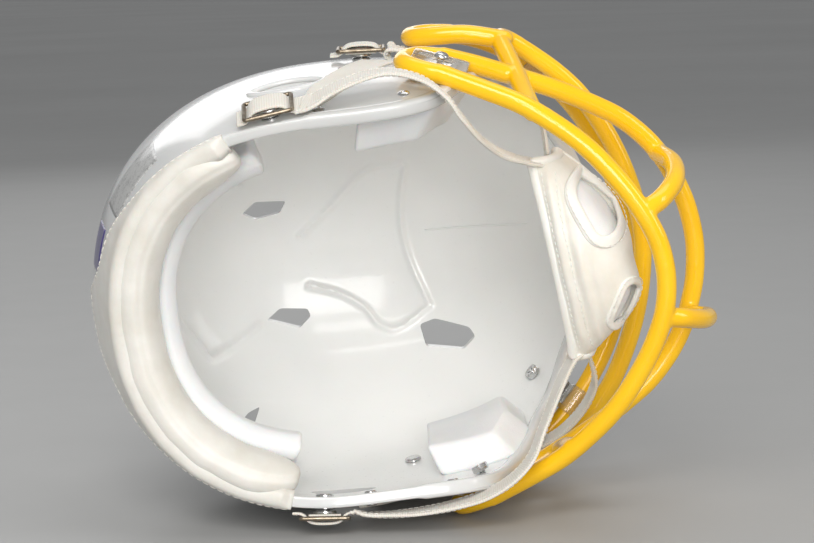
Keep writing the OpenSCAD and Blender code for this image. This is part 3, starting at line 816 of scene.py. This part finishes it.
roll = roll_piece()
fth = np.linspace(111, 244.5, 200)
fh = np.abs(fth - 180)
zr = np.interp(180 - fh, RIM_TH, RIM_Z)
z1 = np.maximum(np.interp(fh, FLAP[:, 0], FLAP[:, 1]), zr + 1.8)
UNDER = [(0.95, -0.3), (0.75, -1.1), (0.2, -1.9), (-0.9, -2.6), (-2.4, -3.1), (-4.2, -3.3)]
BACK = [(-4.2, -1.8), (-2.4, -1.2), (-0.8, -0.9), (0.25, -0.6)]
flap_rings = []
for t, a, b in zip(fth, zr, z1):
    zz = np.linspace(b, a + 0.3, 18)
    lift = 0.75 * np.sqrt(np.clip((b + 0.4 - zz) / 1.2, 0, 1))
    end = max(0.25, min(1.0, (t - 110.5) / 4, (245 - t) / 4))
    pts = [skin(t, lat_of(zz), 0.25 + lift)]
    pts += [skin(t, float(lat_of(a + h * end)), off)[None] for off, h in UNDER]
    pts += [skin(t, float(lat_of(a + h * end)), off)[None] for off, h in BACK]
    pts.append(skin(t, lat_of(zz[::-1]), -0.2))
    ring = np.vstack(pts)
    for v in ring[:24]:
        v += 0.16 * np.array(noise.noise_vector(Vector(v) * 0.2))
    flap_rings.append(ring)
flap = loft("neck_roll_flap", flap_rings, ROLL_VINYL)
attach(flap, "helmet")
finish(roll, "helmet", ["neck_roll"])
edge_line = np.array([skin(t, float(lat_of(b - 1.3)), 1.0) for t, b in zip(fth, z1)])
flap_stitch = stitches("flap_stitching", edge_line, edge_line - [AXIS_X, 0, -10], 2.2, 1.4, 0.13)
finish(flap_stitch, "helmet", [])


def rear_pad_piece():
    """Foam strip that lies on the wall at its top and on the roll at its bottom."""
    k, m = 170, 40
    th = np.linspace(248, 112, k)
    t = np.linspace(-1, 1, k)
    top = 20 - 14 * t * t
    e = np.clip((1 - np.abs(t)) / 0.03, 0, 1)
    f = 0.3 + 0.7 * np.sqrt(1 - (1 - e) ** 2)
    rings = []
    for i in range(k):
        q = np.linspace(0, 1, m)
        z = -43 + (top[i] + 43) * q
        face = -9.1 - 10.2 * ease((-6 - z) / 26)
        back = -2.4 - 9.2 * ease((-27 - z) / 5)
        mid, half = (face + back) / 2, (back - face) / 2
        low_end = np.sqrt(np.clip(1 - np.clip(1 - q * m / 3.2, 0, 1) ** 2, 0.02, 1))
        high_end = np.sqrt(np.clip(1 - np.clip(1 - (1 - q) * m / 2.5, 0, 1) ** 2, 0.02, 1))
        round_end = low_end * high_end
        half = half * round_end * f[i]
        swell = 0.35 * np.sin(math.pi * q) * f[i]
        inner_side = skin(th[i], lat_of(z), mid - half - swell)
        outer_side = skin(th[i], lat_of(z[::-1]), (mid + half)[::-1])
        rings.append(np.vstack([inner_side, outer_side]))
    return loft("rear_pad_foam", rings, FOAM)


rear = finish(rear_pad_piece(), "helmet", ["rear_pad"])
JAW_PADS = (("right", (-77, -50.5), (-46, -16), 14), ("left", (46, 69.5), (-25, 6), 9.2))
for tag, th, z, thick in JAW_PADS:
    pad = skin_pad("jaw_pad_foam_" + tag, th, z, (-2.6 - thick, -2.4), 1.6, FOAM, 30, 0.5)
    finish(pad, "helmet", ["jaw_pad_" + tag])

# ---------------------------------------------------------------- mask
JAW_BAR = [(78, 0, -54), (76.8, 9, -54), (73.3, 17.5, -53.5), (68.5, 25.5, -52.5), (62, 34, -51),
           (54.5, 41, -49), (46.5, 46.9, -47), (37, 51.8, -44.5), (27, 56.6, -41.5)]
MOUTH_BAR = [(90.2, 0, -17), (89.2, 9.5, -17), (87, 17, -17), (84.5, 23, -17.5), (80, 29.8, -18),
             (74, 36, -19), (67.5, 40.5, -20), (58, 46, -21.5), (48, 50.8, -23), (38, 55.4, -24.5),
             (29, 59, -26)]
LOWER_LOOP = [(29, 55.8, -42), (24, 57.4, -40.5), (19.8, 59, -37.5), (18.4, 59.8, -33.5),
              (19.8, 60.2, -29), (24, 59.9, -26.6), (31, 58.2, -25.7)]
EYE_BAR = [(78.3, 0, 5), (77.3, 10, 5), (75, 20, 5), (71.5, 29.5, 4.8), (66, 40, 4.3),
           (60, 47.5, 3.7), (53, 54, 3), (48, 58, 2)]
LEG = [(50, 56.6, 2.5), (46.5, 59.2, 0.5), (45, 59.5, -6), (46.5, 54.6, -17), (48, 49.8, -28),
       (49, 46, -40), (49.5, 44.5, -47.5)]
BROW_BAR = [(75, 0, 19), (74, 10, 19), (71, 21, 18.5), (67, 31, 17.5), (61.5, 40, 16),
            (54.5, 48.2, 14), (46.5, 55, 12), (38, 59.6, 10.5), (30, 62, 9.5)]
UPPER_LOOP = [(32, 61.6, 9.8), (26, 62.5, 8.6), (22, 62.7, 5.6), (21, 62.7, 2),
              (23, 62.7, -2), (28, 62.7, -4.2), (36, 62.2, -5.4), (46, 59.6, -6.5)]
STRUT_RIGHT = [(73.8, -16.5, -53.4), (79, -18.5, -50.5), (83.9, -21.5, -42), (85.2, -24, -30),
               (82.8, -25.5, -17.8)]
STRUT_LEFT = [(76.1, 11.2, -53.6), (82, 13, -50.5), (87.5, 15.8, -42), (89.8, 18, -30), (85.9, 19.8, -17.4)]
WIRE_R, LINK_R = 2.6, 2.25
LINK = [(72.2, 17, 18.8), (76, 17, 12), (75.8, 16.6, 5.2)]

wires = []
for name, pts in (("jaw", JAW_BAR), ("mouth", MOUTH_BAR), ("eye", EYE_BAR), ("brow", BROW_BAR)):
    wires.append(loft(name, tube_rings(spline(both(pts), 10), WIRE_R, (0, 0, 1), 32), GOLD))
for name, pts, r, ref in (("loop", LOWER_LOOP, WIRE_R, (0, 1, 0)), ("leg", LEG, WIRE_R, (0.9, -0.4, 0)),
                          ("top", UPPER_LOOP, WIRE_R, (0, 1, 0)), ("link", LINK, LINK_R, (0, 1, 0))):
    for s in (1, -1):
        p = spline(pts, 10) * [1, s, 1]
        wires.append(loft(name, tube_rings(p, r, np.array(ref) * [1, s, 1], 32), GOLD))
for pts in (STRUT_RIGHT, STRUT_LEFT):
    wires.append(loft("strut", tube_rings(spline(pts, 10), WIRE_R, (0, 1, 0), 32), GOLD))
mask = remesh(join("face_mask", wires), 0.00042, 8)
PAIRED = ("lower_loop", "side_leg", "upper_loop", "front_strut", "brow_link")
mask_nodes = ["jaw_bar", "mouth_bar", "eye_bar", "brow_bar"]
mask_nodes += [n + s for s in ("_right", "_left") for n in PAIRED]
finish(mask, "helmet", mask_nodes)

# ---------------------------------------------------------------- hardware
def placer(origin, t, b, n):
    origin, t, b, n = (np.asarray(v, float) for v in (origin, t, b, n))
    return lambda p: origin + p[:, 0:1] * t + p[:, 1:2] * b + p[:, 2:3] * n


def clip_frame(o, t, n, s):
    f = np.array([1, s, 1])
    o, t, n = np.array(o) * f, unit(np.array(t, float) * f), np.array(n, float) * f
    b = unit(np.cross(n, t))
    return o, t, b, np.cross(t, b)


SIDE = ((27.5, 57.4, -33.8), (17.5, -7, -1.8), (0.345, 0.912, -0.2))
BROW = ((54.5, 48.2, 14), (15, -15.5, 4), (0.66, 0.7, 0.15))


def shifted(place, dx=0.0, dy=0.0, dz=0.0):
    return lambda p: place(p + np.array([dx, dy, dz]))


def screw(name, place, base, shaft_end=-8.0, r=1.95, h=1.25):
    prof = [(0.02, base + h), (r * 0.35, base + h - 0.02), (r * 0.7, base + h * 0.83),
            (r * 0.93, base + h * 0.5), (r, base + h * 0.2), (r, base), (0.9, base - 0.02)]
    z = base - 0.1
    while z > shaft_end + 0.5:
        prof += [(0.92, z), (0.76, z - 0.22)]
        z -= 0.44
    prof += [(0.7, shaft_end), (0.02, shaft_end)]
    body = lathe(name, prof, STEEL, place, 40)
    for turn in (0.4, 0.4 + math.pi / 2):
        p, faces = soft_box((r * 0.62, 0.2, 0.5), 0.05, 3)
        c, s = math.cos(turn), math.sin(turn)
        p = p @ np.array([[c, s, 0], [-s, c, 0], [0, 0, 1]])
        blade = weld(make("blade", place(p + [0, 0, base + h]), faces, None, smooth=False))
        cut(body, blade)
    crease(body, 35)
    return body


def nut(name, place, low, r=2.4, h=1.8):
    """Hexagonal nut: its widest rings are six flats, the others are round."""
    fine = full_turn(36)
    sixth = math.pi / 6
    hexagon = r * (math.cos(sixth) / np.cos((fine + sixth) % (math.pi / 3) - sixth))
    rings = []
    for radius, z in ((0.95, low + h - 0.1), (1.15, low + h), (r * 0.86, low + h), (r, low + h - 0.28),
                      (r, low + 0.28), (r * 0.86, low), (1.15, low), (0.95, low + 0.1)):
        flat = hexagon if radius == r else np.full(36, radius)
        rings.append(np.stack([flat * np.cos(fine), flat * np.sin(fine), np.full(36, z)], -1))
    rings = np.array(rings)
    ob = make(name, place(rings.reshape(-1, 3)), ring_faces(*rings.shape[:2]), STEEL)
    crease(ob, 30)
    return ob


screws, nuts = [], []
for s, tag in ((-1, "right"), (1, "left")):
    o, t, b, n = clip_frame(*SIDE, s)
    place = placer(o, t, b, n)
    parts = []
    p, f = soft_box((7.5, 4.3, 2.5), 1.3, 12)
    parts.append(make("clip", place(p), f, CLEAR))
    p, f = soft_box((7.5, 6.9, 0.75), 0.7, 14)
    p[:, 2] += 2.0 - 0.03 * p[:, 1] ** 2
    parts.append(make("clip", place(p), f, CLEAR))
    clip = remesh(join("side_clip_moulded_" + tag, [weld(x) for x in parts]), 0.0002, 3)
    finish(clip, "helmet", ["side_clip_" + tag])
    screws.append(screw("screw", place, 2.75))
    nuts.append(nut("nut", place, -8))
    o, t, b, n = clip_frame(*BROW, s)
    place = placer(o, t, b, n)
    parts = []
    ring = [(3.8, -3.4), (3.8, 3.4), (3.3, 4), (2.66, 4), (2.66, -4), (3.3, -4)]
    ang = full_turn(40)
    rings = np.array([np.stack([np.full(40, x), r * np.cos(ang), r * np.sin(ang)], -1) for r, x in ring])
    parts.append(make("clip", place(rings.reshape(-1, 3)), ring_faces(*rings.shape[:2]), CLEAR))
    p, f = soft_box((4, 3.5, 0.9), 0.8, 8)
    parts.append(weld(make("clip", place(p + [0, -s * 9, -6.5]), f, CLEAR)))
    p, f = soft_box((3.9, 2.4, 2.2), 0.9, 8)
    parts.append(weld(make("clip", place(p + [0, -s * 5.3, -4.8]), f, CLEAR)))
    clip = remesh(join("brow_clip_moulded_" + tag, parts), 0.00022, 3)
    finish(clip, "helmet", ["brow_clip_" + tag])
    place = shifted(place, dy=-s * 10)
    screws.append(screw("screw", place, -5.6, -13.0))
    nuts.append(nut("nut", place, -13))
finish(join("clip_screws_turned", screws), "helmet", ["clip_screws"])
finish(join("clip_nuts_turned", nuts), "helmet", ["clip_nuts"])

# Profiles as (radius, height over the shell's surface).
STUD = [(0.02, -3.65), (2.0, -3.6), (2.3, -3.3), (2.3, -2.8), (1.3, -2.65), (1.3, -0.3), (2.3, -0.3),
        (2.5, -0.1), (2.5, 0.3), (2.2, 0.5), (1.25, 0.55), (1.1, 1.1), (1.3, 1.6), (1.25, 2.05),
        (0.9, 2.28), (0.02, 2.3)]
RIVET = [(0.02, -3.5), (1.3, -3.45), (1.6, -3.1), (1.6, -2.75), (0.9, -2.7), (0.9, -0.1), (1.6, -0.1),
         (1.58, 0.2), (1.2, 0.5), (0.55, 0.6), (0.3, 0.42), (0.02, 0.4)]
CAP = [(1.6, 0.8), (2.7, 0.8), (3.0, 1.0), (3.0, 1.4), (2.8, 1.6), (2.0, 1.62), (2.0, 2.35), (3.3, 2.42),
       (3.6, 2.65), (3.55, 3.0), (3.2, 3.4), (2.2, 3.58), (0.9, 3.5), (0.02, 3.45), (0.02, 2.7),
       (1.5, 2.7), (1.6, 2.55)]
# Places on the shell as (angle from the front, height).
RIVETS = ((88, -49.5), (66, -45))
SNAPS = {"lower": (101.5, -48.5), "upper": (77.5, 1)}
studs, rivets = [], []
for s in (-1, 1):
    for q in SNAPS.values():
        place = placer(*seat(q[0], q[1], s))
        studs.append(lathe("stud", STUD, STEEL, place, 40))
    for q in RIVETS:
        place = placer(*seat(q[0], q[1], s))
        rivets.append(lathe("rivet", RIVET, STEEL, place, 36))
for ob in studs + rivets:
    crease(ob, 40)
finish(join("snap_studs_turned", studs), "helmet", ["snap_studs"])
finish(join("rim_rivets_turned", rivets), "helmet", ["jaw_rivets"])


def wire_loop(name, place, l, w, r, corner, height):
    pts = []
    for cx, cy, a0 in ((1, 1, 0), (-1, 1, 90), (-1, -1, 180), (1, -1, 270)):
        for a in np.linspace(a0, a0 + 90, 9):
            c, q = math.cos(math.radians(a)), math.sin(math.radians(a))
            pts.append((cx * (l / 2 - corner) + corner * c, cy * (w / 2 - corner) + corner * q, height))
    p = np.array(pts)
    p[:, 2] -= 0.35 * (p[:, 1] / (w / 2)) ** 2 * 0.4
    ang = full_turn(16)
    t = unit(np.roll(p, -1, 0) - np.roll(p, 1, 0))
    a = unit(np.cross([0, 0, 1.0], t))
    b = np.cross(t, a)
    circle = np.cos(ang)[None, :, None] * a[:, None] + np.sin(ang)[None, :, None] * b[:, None]
    rings = p[:, None] + r * circle
    flat = place(rings.reshape(-1, 3)).reshape(rings.shape)
    return closed_band(name, flat, NICKEL)


TAB_OVER = [(-8.4, 1.0), (-7.2, 1.0), (-6.2, 1.15), (-5.2, 1.75), (-4.6, 2.6), (-3.6, 3.35), (-2, 3.68),
            (0, 3.75), (2, 3.68), (3.6, 3.35), (4.6, 2.6), (5.2, 1.75), (6.2, 1.15), (7.4, 1.1)]
TAB_UNDER = [(-4.2, 1.97), (-2, 1.97), (0, 1.97), (2, 1.97), (4.2, 1.97)]
TAB_LIFT = 0.4


def band_profile(name, place, line, width, thick, material):
    """Webbing of a given width that follows a line in the frame's own t, n plane."""
    p2 = spline([(a, 0, b) for a, b in line], 6)
    normal = np.cross(unit(np.gradient(p2, axis=0)), [0, -1.0, 0])
    rings = strip(p2, normal, width / 2, thick / 2, 0.4, 20)
    first, last = p2[:1, None], p2[-1:, None]
    rings = np.concatenate([first + (rings[:1] - first) * 0.6, rings, last + (rings[-1:] - last) * 0.6])
    return loft(name, place(rings.reshape(-1, 3)).reshape(rings.shape), material)


for level, q in SNAPS.items():
    for s, tag in ((-1, "right"), (1, "left")):
        name, body = level + "_" + tag, "snap_" + level + "_" + tag
        place = placer(*seat(q[0], q[1], s))
        frame_ob = wire_loop("buckle_wire_" + name, place, 12.4, 10.4, 0.55, 0.75, 2.9)
        finish(frame_ob, body, ["buckle_" + name])
        cap = lathe("snap_button_" + name, CAP, SNAP, place, 48)
        crease(cap, 40)
        finish(cap, body, ["snap_" + name])
        over = [(a, b + TAB_LIFT) for a, b in TAB_OVER]
        top = band_profile("tab_fold_" + name, place, over, 8.8, 0.8, WEB)
        under = band_profile("tab_under", place, TAB_UNDER, 8.4, 0.66, WEB)
        away = np.repeat(place(np.array([[0, 0, 1.0]])) - place(np.zeros((1, 3))), 8, 0)
        rows = []
        for at in (-7.4, 6.6):
            line = np.array([(at, w, 1.85) for w in np.linspace(-3.6, 3.6, 8)])
            rows.append(stitches("st", place(line), away, 0.9, 0.6, 0.11, 0.03))
        tab = join("tab_fold_" + name, [top, under] + rows)
        finish(tab, body, ["tab_" + name])

# ---------------------------------------------------------------- blank label and patch
def plate(name, th, z, lift, material, n=24):
    a, b = np.meshgrid(np.linspace(*th, n), np.linspace(*z, n), indexing="ij")
    u, v = np.meshgrid(np.linspace(-1, 1, n), np.linspace(-1, 1, n), indexing="ij")
    edge = np.clip(1.03 - np.maximum(np.abs(u), np.abs(v)), 0, 0.05) / 0.05
    p = skin(a, lat_of(b), 0.02 + lift * np.sqrt(edge))
    rings = [np.vstack([p[i], skin(a[i, ::-1], lat_of(b[i, ::-1]), -0.15)]) for i in range(n)]
    return loft(name, rings, material)


label = plate("blank_label", (-152, -134), (-37.5, -20), 0.18, LABEL)
patch = plate("blank_patch", (-167.5, -157), (-28.3, -16), 0.25, PATCH)
finish(label, "helmet", ["rear_label"])
finish(patch, "helmet", ["rear_patch"])

# ---------------------------------------------------------------- chin cup
CUP_HALF, CUP_SHIFT = 26.5, 2.0


def cup_section(u, k=12):
    f = max(0.0, 1 - abs(u) ** 2.2)
    xr, xf = 51 + 2.6 * u, 57.5 + 15 * f + 3 * float(ease(u / 0.5))
    w, zb, zt = xf - xr, -29 - 9.5 * f, -12.5
    pts = [(xr, 0, zb + 4.5 * f), (xr + 0.2 * w, 0, zb + 1.1 * f), (xr + 0.5 * w, 0, zb),
           (xr + 0.8 * w, 0, zb + 2.2), (xf - 0.5, 0, zb + 8), (xf, 0, (zb + zt) / 2 + 3), (xf - 0.8, 0, zt)]
    return spline(pts, k)[:, [0, 2]]


def cup_surface(us, offset, relief=True):
    """Points (u, v) of the cup at a depth inside its outer face, and the outward normals."""
    rows_p, rows_n = [], []
    for u in us:
        q = cup_section(u)
        t = unit(np.gradient(q, axis=0))
        inward = np.stack([-t[:, 1], t[:, 0]], -1)
        s = arc_length(q)
        lift = 0
        if relief:
            fade = ease((u + 1.0) / 0.2) * ease((1.0 - u) / 0.2)
            low = ease((u + 0.35) / 0.3)
            rear_roll = 0.75 * np.exp(-((s - 3.6) / 1.25) ** 2) - 0.35 * np.exp(-((s - 6.0) / 0.7) ** 2)
            next_roll = 0.5 * np.exp(-((s - 8.2) / 1.0) ** 2) - 0.25 * np.exp(-((s - 10.2) / 0.7) ** 2)
            lift = fade * (rear_roll + low * next_roll)
            lift = lift + 0.12 * np.sin(s * 0.9 + 5 * u) * (1 - fade * 0.6)
            p2 = q + inward * (offset - lift)[:, None]
        else:
            p2 = q + inward * offset
        y = CUP_HALF * u - CUP_SHIFT
        rows_p.append(np.stack([p2[:, 0], np.full(len(q), y), p2[:, 1]], -1))
        rows_n.append(np.stack([-inward[:, 0], np.zeros(len(q)), -inward[:, 1]], -1))
    return np.array(rows_p), np.array(rows_n)


def cup_layer(name, d0, d1, u1, material, relief):
    us = np.linspace(-u1, u1, 110)
    a, _ = cup_surface(us, d0, relief)
    b, _ = cup_surface(us, d1, False)
    rings = np.concatenate([a, b[:, ::-1]], axis=1)
    for ring in rings.reshape(-1, 3):
        ring += 0.18 * np.array(noise.noise_vector(Vector(ring) * 0.14))
    return loft(name, rings, material)


def window_outline(circles, k=16):
    round_points = [(math.cos(a), math.sin(a)) for a in full_turn(k * 4)]
    pts = np.array([(x + r * c, y + r * s) for x, y, r in circles for c, s in round_points])
    hull = pts[convex_hull_2d([Vector(v) for v in pts.tolist()])]
    hull = np.vstack([hull, hull[:1]])
    s = arc_length(hull)
    at = np.linspace(0, s[-1], 97)[:-1]
    out = np.stack([np.interp(at, s, hull[:, k]) for k in range(2)], -1)
    for _ in range(6):
        out = softened(out)
    return out


WINDOWS = {"large": [(62.4, -19.5, 4.5), (65.2, -11.6, 4.3), (64.6, -19, 3)],
           "small": [(70.2, 7.8, 2.5), (66.4, 14.8, 2.3)]}
CUT_TOP = -26.0


def on_cup(outline, offset):
    """Lifts an x, y outline onto the underside of the cup, stopping at the front wall."""
    pts, norms = [], []
    for x, y in outline:
        u = (y + CUP_SHIFT) / CUP_HALF
        p, n = cup_surface([u], offset, False)
        p, n = p[0], n[0]
        under = np.flatnonzero(p[:, 2] <= CUT_TOP)
        last = under[-1] if len(under) else len(p) - 1
        xs = p[:last + 1, 0]
        i = int(np.argmin(np.abs(xs - x)))
        pts.append((xs[i] if x > xs.max() else x, y, p[i, 2]))
        norms.append(n[i])
    pts, norms = np.array(pts), np.array(norms)
    for _ in range(3):
        pts = softened(pts)
        norms = unit(softened(norms))
    return pts, norms


cup = cup_layer("chin_cup_vinyl", 0.0, 2.0, 1.0, CUP_VINYL, True)
lining = cup_layer("chin_cup_lining", 2.0, 3.4, 0.86, LINING, False)
trim = []
for key, circles in WINDOWS.items():
    outline = window_outline(circles)
    rings = [np.column_stack([outline, np.full(len(outline), z)]) for z in (-60.0, CUT_TOP)]
    cut(cup, loft("cutter", rings, None, smooth=False))
    path, norm = on_cup(outline, 0.3)
    centre = path.mean(0)
    outward = unit(path - centre)
    wide = 1.7 if key == "large" else 1.15
    band = strip(path + outward * wide * 0.45, norm, wide, 0.75, 0.75, 18, True)
    trim.append(closed_band("binding", band, CUP_BIND))
    line = path + outward * wide * 1.25 + norm * 0.35
    line, line_out = np.vstack([line, line[:2]]), np.vstack([norm, norm[:2]])
    trim.append(stitches("st", line, line_out, 1.7, 1.15, 0.12, 0.1, CUP_BIND))
us = np.linspace(-1, 1, 90)
p, n = cup_surface(us, 1.0, False)
loop = np.vstack([p[:, 0], p[-1, 1:-1:4], p[::-1, -1], p[0, -2:0:-4]])
loop_n = np.vstack([n[:, 0], n[-1, 1:-1:4], n[::-1, -1], n[0, -2:0:-4]])
for _ in range(4):
    loop = softened(loop)
trim.append(closed_band("edge", strip(loop, loop_n, 1.5, 1.45, 0.9, 16, True), CUP_BIND))
for at, lift in ((2.1, 0.35), (5.9, -0.1)):
    p, n = cup_surface(np.linspace(-0.93, 0.93, 80), 0.0, True)
    k = []
    for i in range(len(p)):
        s = arc_length(p[i])
        k.append(int(np.argmin(np.abs(s - at))))
    line = p[np.arange(len(p)), k]
    trim.append(stitches("st", line, n[np.arange(len(p)), k], 1.7, 1.15, 0.12, 0.1, CUP_BIND))
binding = join("chin_cup_binding", trim)
inner_p, inner_n = cup_surface(np.linspace(-0.82, -0.2, 40), 3.5, False)
seam_line = inner_p[:, -22]
cup_seam = stitches("cup_inner_seam", seam_line, -inner_n[:, -22], 1.0, 0.85, 0.14, 0.05, THREAD)
crease(cup, 50)
crease(lining, 50)
finish(cup, "chin_cup", ["chin_cup"])
finish(binding, "chin_cup", [])
finish(cup_seam, "chin_cup", [])
finish(lining, "chin_cup", ["cup_lining"])

# ---------------------------------------------------------------- straps
LOW_RIGHT = [(50.5, -28.0, -25), (45.5, -30.2, -29.5), (40.2, -33.8, -36.0), (35, -39.6, -43.5),
             (31.2, -46, -48.5), (28, -51.5, -50.3), (22.5, -56.8, -50.8), (15, -59.4, -50.5),
             (8, -59.2, -50.3), (0, -56.9, -50.2), (-5.5, -54.6, -50)]
LOW_LEFT = [(55.5, 24.6, -24.5), (52, 27.2, -28), (47.5, 32.2, -36), (42.8, 38.6, -44.5), (38.6, 44.8, -49.5),
            (33, 49.6, -51.3), (26, 52.8, -51.3), (17, 54.8, -50.8), (8, 55.4, -50.5), (0, 55.3, -50.2),
            (-5.5, 54.6, -50)]
UP_RIGHT = [(53.5, -27, -16), (53.5, -32, -13.5), (53, -38, -11), (51.5, -43, -8), (48, -48, -5.8),
            (43, -52.3, -4.2), (36, -55.6, -3), (28, -57.8, -2), (21, -59.4, -1), (15.5, -60.3, 0.2)]
UP_LEFT = [(55, 23.5, -15), (58.5, 29, -13), (59.5, 36, -10.6), (57.4, 42, -8.6), (53, 47.5, -6.8),
           (47.5, 52, -5.2), (40, 55, -3.8), (33, 56.8, -2.8), (26, 58.2, -1.8), (20, 59.5, -0.8),
           (15.5, 60.3, 0.2)]


def strap(name, pts, level, s, node):
    o, t, b, n = seat(*SNAPS[level], s)
    reach = ((8.6, 1.3), (6.4, 1.25)) if level == "lower" else ((7.6, 1.2),)
    pts = list(pts) + [tuple(o + t * along + n * lift) for along, lift in reach]
    p = spline(pts, 9)
    k = len(p)
    w = ease((np.linspace(0, 1, k) - 0.45) / 0.5)[:, None]
    b = b if b[2] > 0 else -b
    width_dir = unit((1 - w) * np.array([0, 0, 1.0]) + w * b)
    tan = unit(np.gradient(p, axis=0))
    normal = unit(np.cross(tan, width_dir))
    rings = strip(p, normal, 4.5, 0.5, 0.35, 24)
    ripple = 0.1 * np.sin(np.linspace(0, 40, k))[:, None, None] * normal[:, None]
    ob = loft(name, rings + ripple, WEB)
    side = unit(np.cross(normal, tan))
    rows = []
    for e in (-3.6, 3.6):
        for face in (-1, 1):
            line = p + side * e + normal * 0.5 * face
            rows.append(stitches("st", line, normal * face, 1.5, 1.0, 0.09, 0.03))
    ob = join(name, [ob] + rows)
    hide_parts(node)
    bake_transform(ob)
    return ob


strap("strap_web_lower_right", LOW_RIGHT, "lower", -1, "strap_lower_right")
strap("strap_web_lower_left", LOW_LEFT, "lower", 1, "strap_lower_left")
strap("strap_web_upper_right", UP_RIGHT, "upper", -1, "strap_upper_right")
strap("strap_web_upper_left", UP_LEFT, "upper", 1, "strap_upper_left")

# The strap link: its middle line on the shell's side as x, z, and the direction of its width there.
LINK_MID = [(-7.6, -44.8), (-5.4, -41.8), (-2.8, -37), (0, -31.5), (2.7, -25.5), (5.5, -19.5),
            (8.4, -13.2), (10.6, -8.4)]
LINK_WIDE = [(0, 1), (-0.35, 0.94), (-0.7, 0.71), (-0.9, 0.43)] + [(-0.9, 0.42)] * 4


def on_side(x, z, off):
    """Points of the left wall at helmet x, z."""
    lat = lat_of(z)
    r = skin(90.0, lat, 0)[..., 1]
    return skin(np.degrees(np.arccos((x - AXIS_X) / r)), lat, off)


for s, tag in ((-1, "right"), (1, "left")):
    mid = spline([(x, 0, z) for x, z in LINK_MID], 8)
    wide = spline([(x, 0, z) for x, z in LINK_WIDE], 8)
    rings, lines = [], []
    for c, w in zip(mid, wide):
        k = np.linspace(-5.1, 5.1, 24)
        round_off = 0.45 * np.sqrt(np.clip(1 - (np.abs(k) / 5.12) ** 8, 0, 1))
        x, z = c[0] + w[0] * k, c[2] + w[2] * k
        top_side = on_side(x, z, 0.35 + round_off)
        low_side = on_side(x[::-1], z[::-1], 0.0)
        rings.append(np.vstack([top_side, low_side]) * [1, s, 1])
    ob = loft("strap_link_web_" + tag, rings, WEB)
    finish(ob, "helmet", ["strap_link_" + tag])

# ---------------------------------------------------------------- floor and light
def floor():
    s = Shade("floor")
    s.colour(s.noise(2.0, 3), [(0.3, (0.36, 0.36, 0.355)), (0.7, (0.40, 0.40, 0.395))])
    s.rough(s.noise(40, 3), 0.5, 0.6)
    s.bump(s.noise(900, 2), 0.05, 0.0002)
    corners = [(-40, -40, 0), (40, -40, 0), (40, 40, 0), (-40, 40, 0)]
    ob = make("floor", corners, [(0, 1, 2, 3)], s.mat, helmet=False)


def area(name, loc, aim, size, power, colour=(1, 1, 1)):
    data = bpy.data.lights.new(name, "AREA")
    data.shape, data.size, data.size_y = "RECTANGLE", size[0], size[1]
    data.energy, data.color = power, colour
    ob = bpy.data.objects.new(name, data)
    ob.location = loc
    ob.rotation_euler = (Vector(aim) - Vector(loc)).to_track_quat("-Z", "Y").to_euler()
    scene.collection.objects.link(ob)


floor()
area("key", (-0.15, -0.95, 0.8), (0, 0, 0.04), (0.6, 0.45), 6.6, (1, 0.985, 0.96))
area("top", (0.1, 0.15, 0.95), (0, 0, 0.06), (0.7, 0.5), 1.7)
area("front", (0.1, -1.15, 0.3), (0, 0, 0.05), (0.6, 0.4), 6.4, (1, 0.99, 0.97))
area("side", (0.95, -0.35, 0.5), (0, 0, 0.06), (0.3, 0.5), 1.8)
area("back", (-0.2, 1.0, 0.5), (0, 0, 0.06), (0.7, 0.4), 1.4)
world = bpy.data.worlds.new("studio")
world.use_nodes = True
sky = world.node_tree.nodes["Background"]
sky.inputs["Color"].default_value = (0.86, 0.87, 0.88, 1)
sky.inputs["Strength"].default_value = 0.42
scene.world = world
scene.view_settings.view_transform = "Standard"
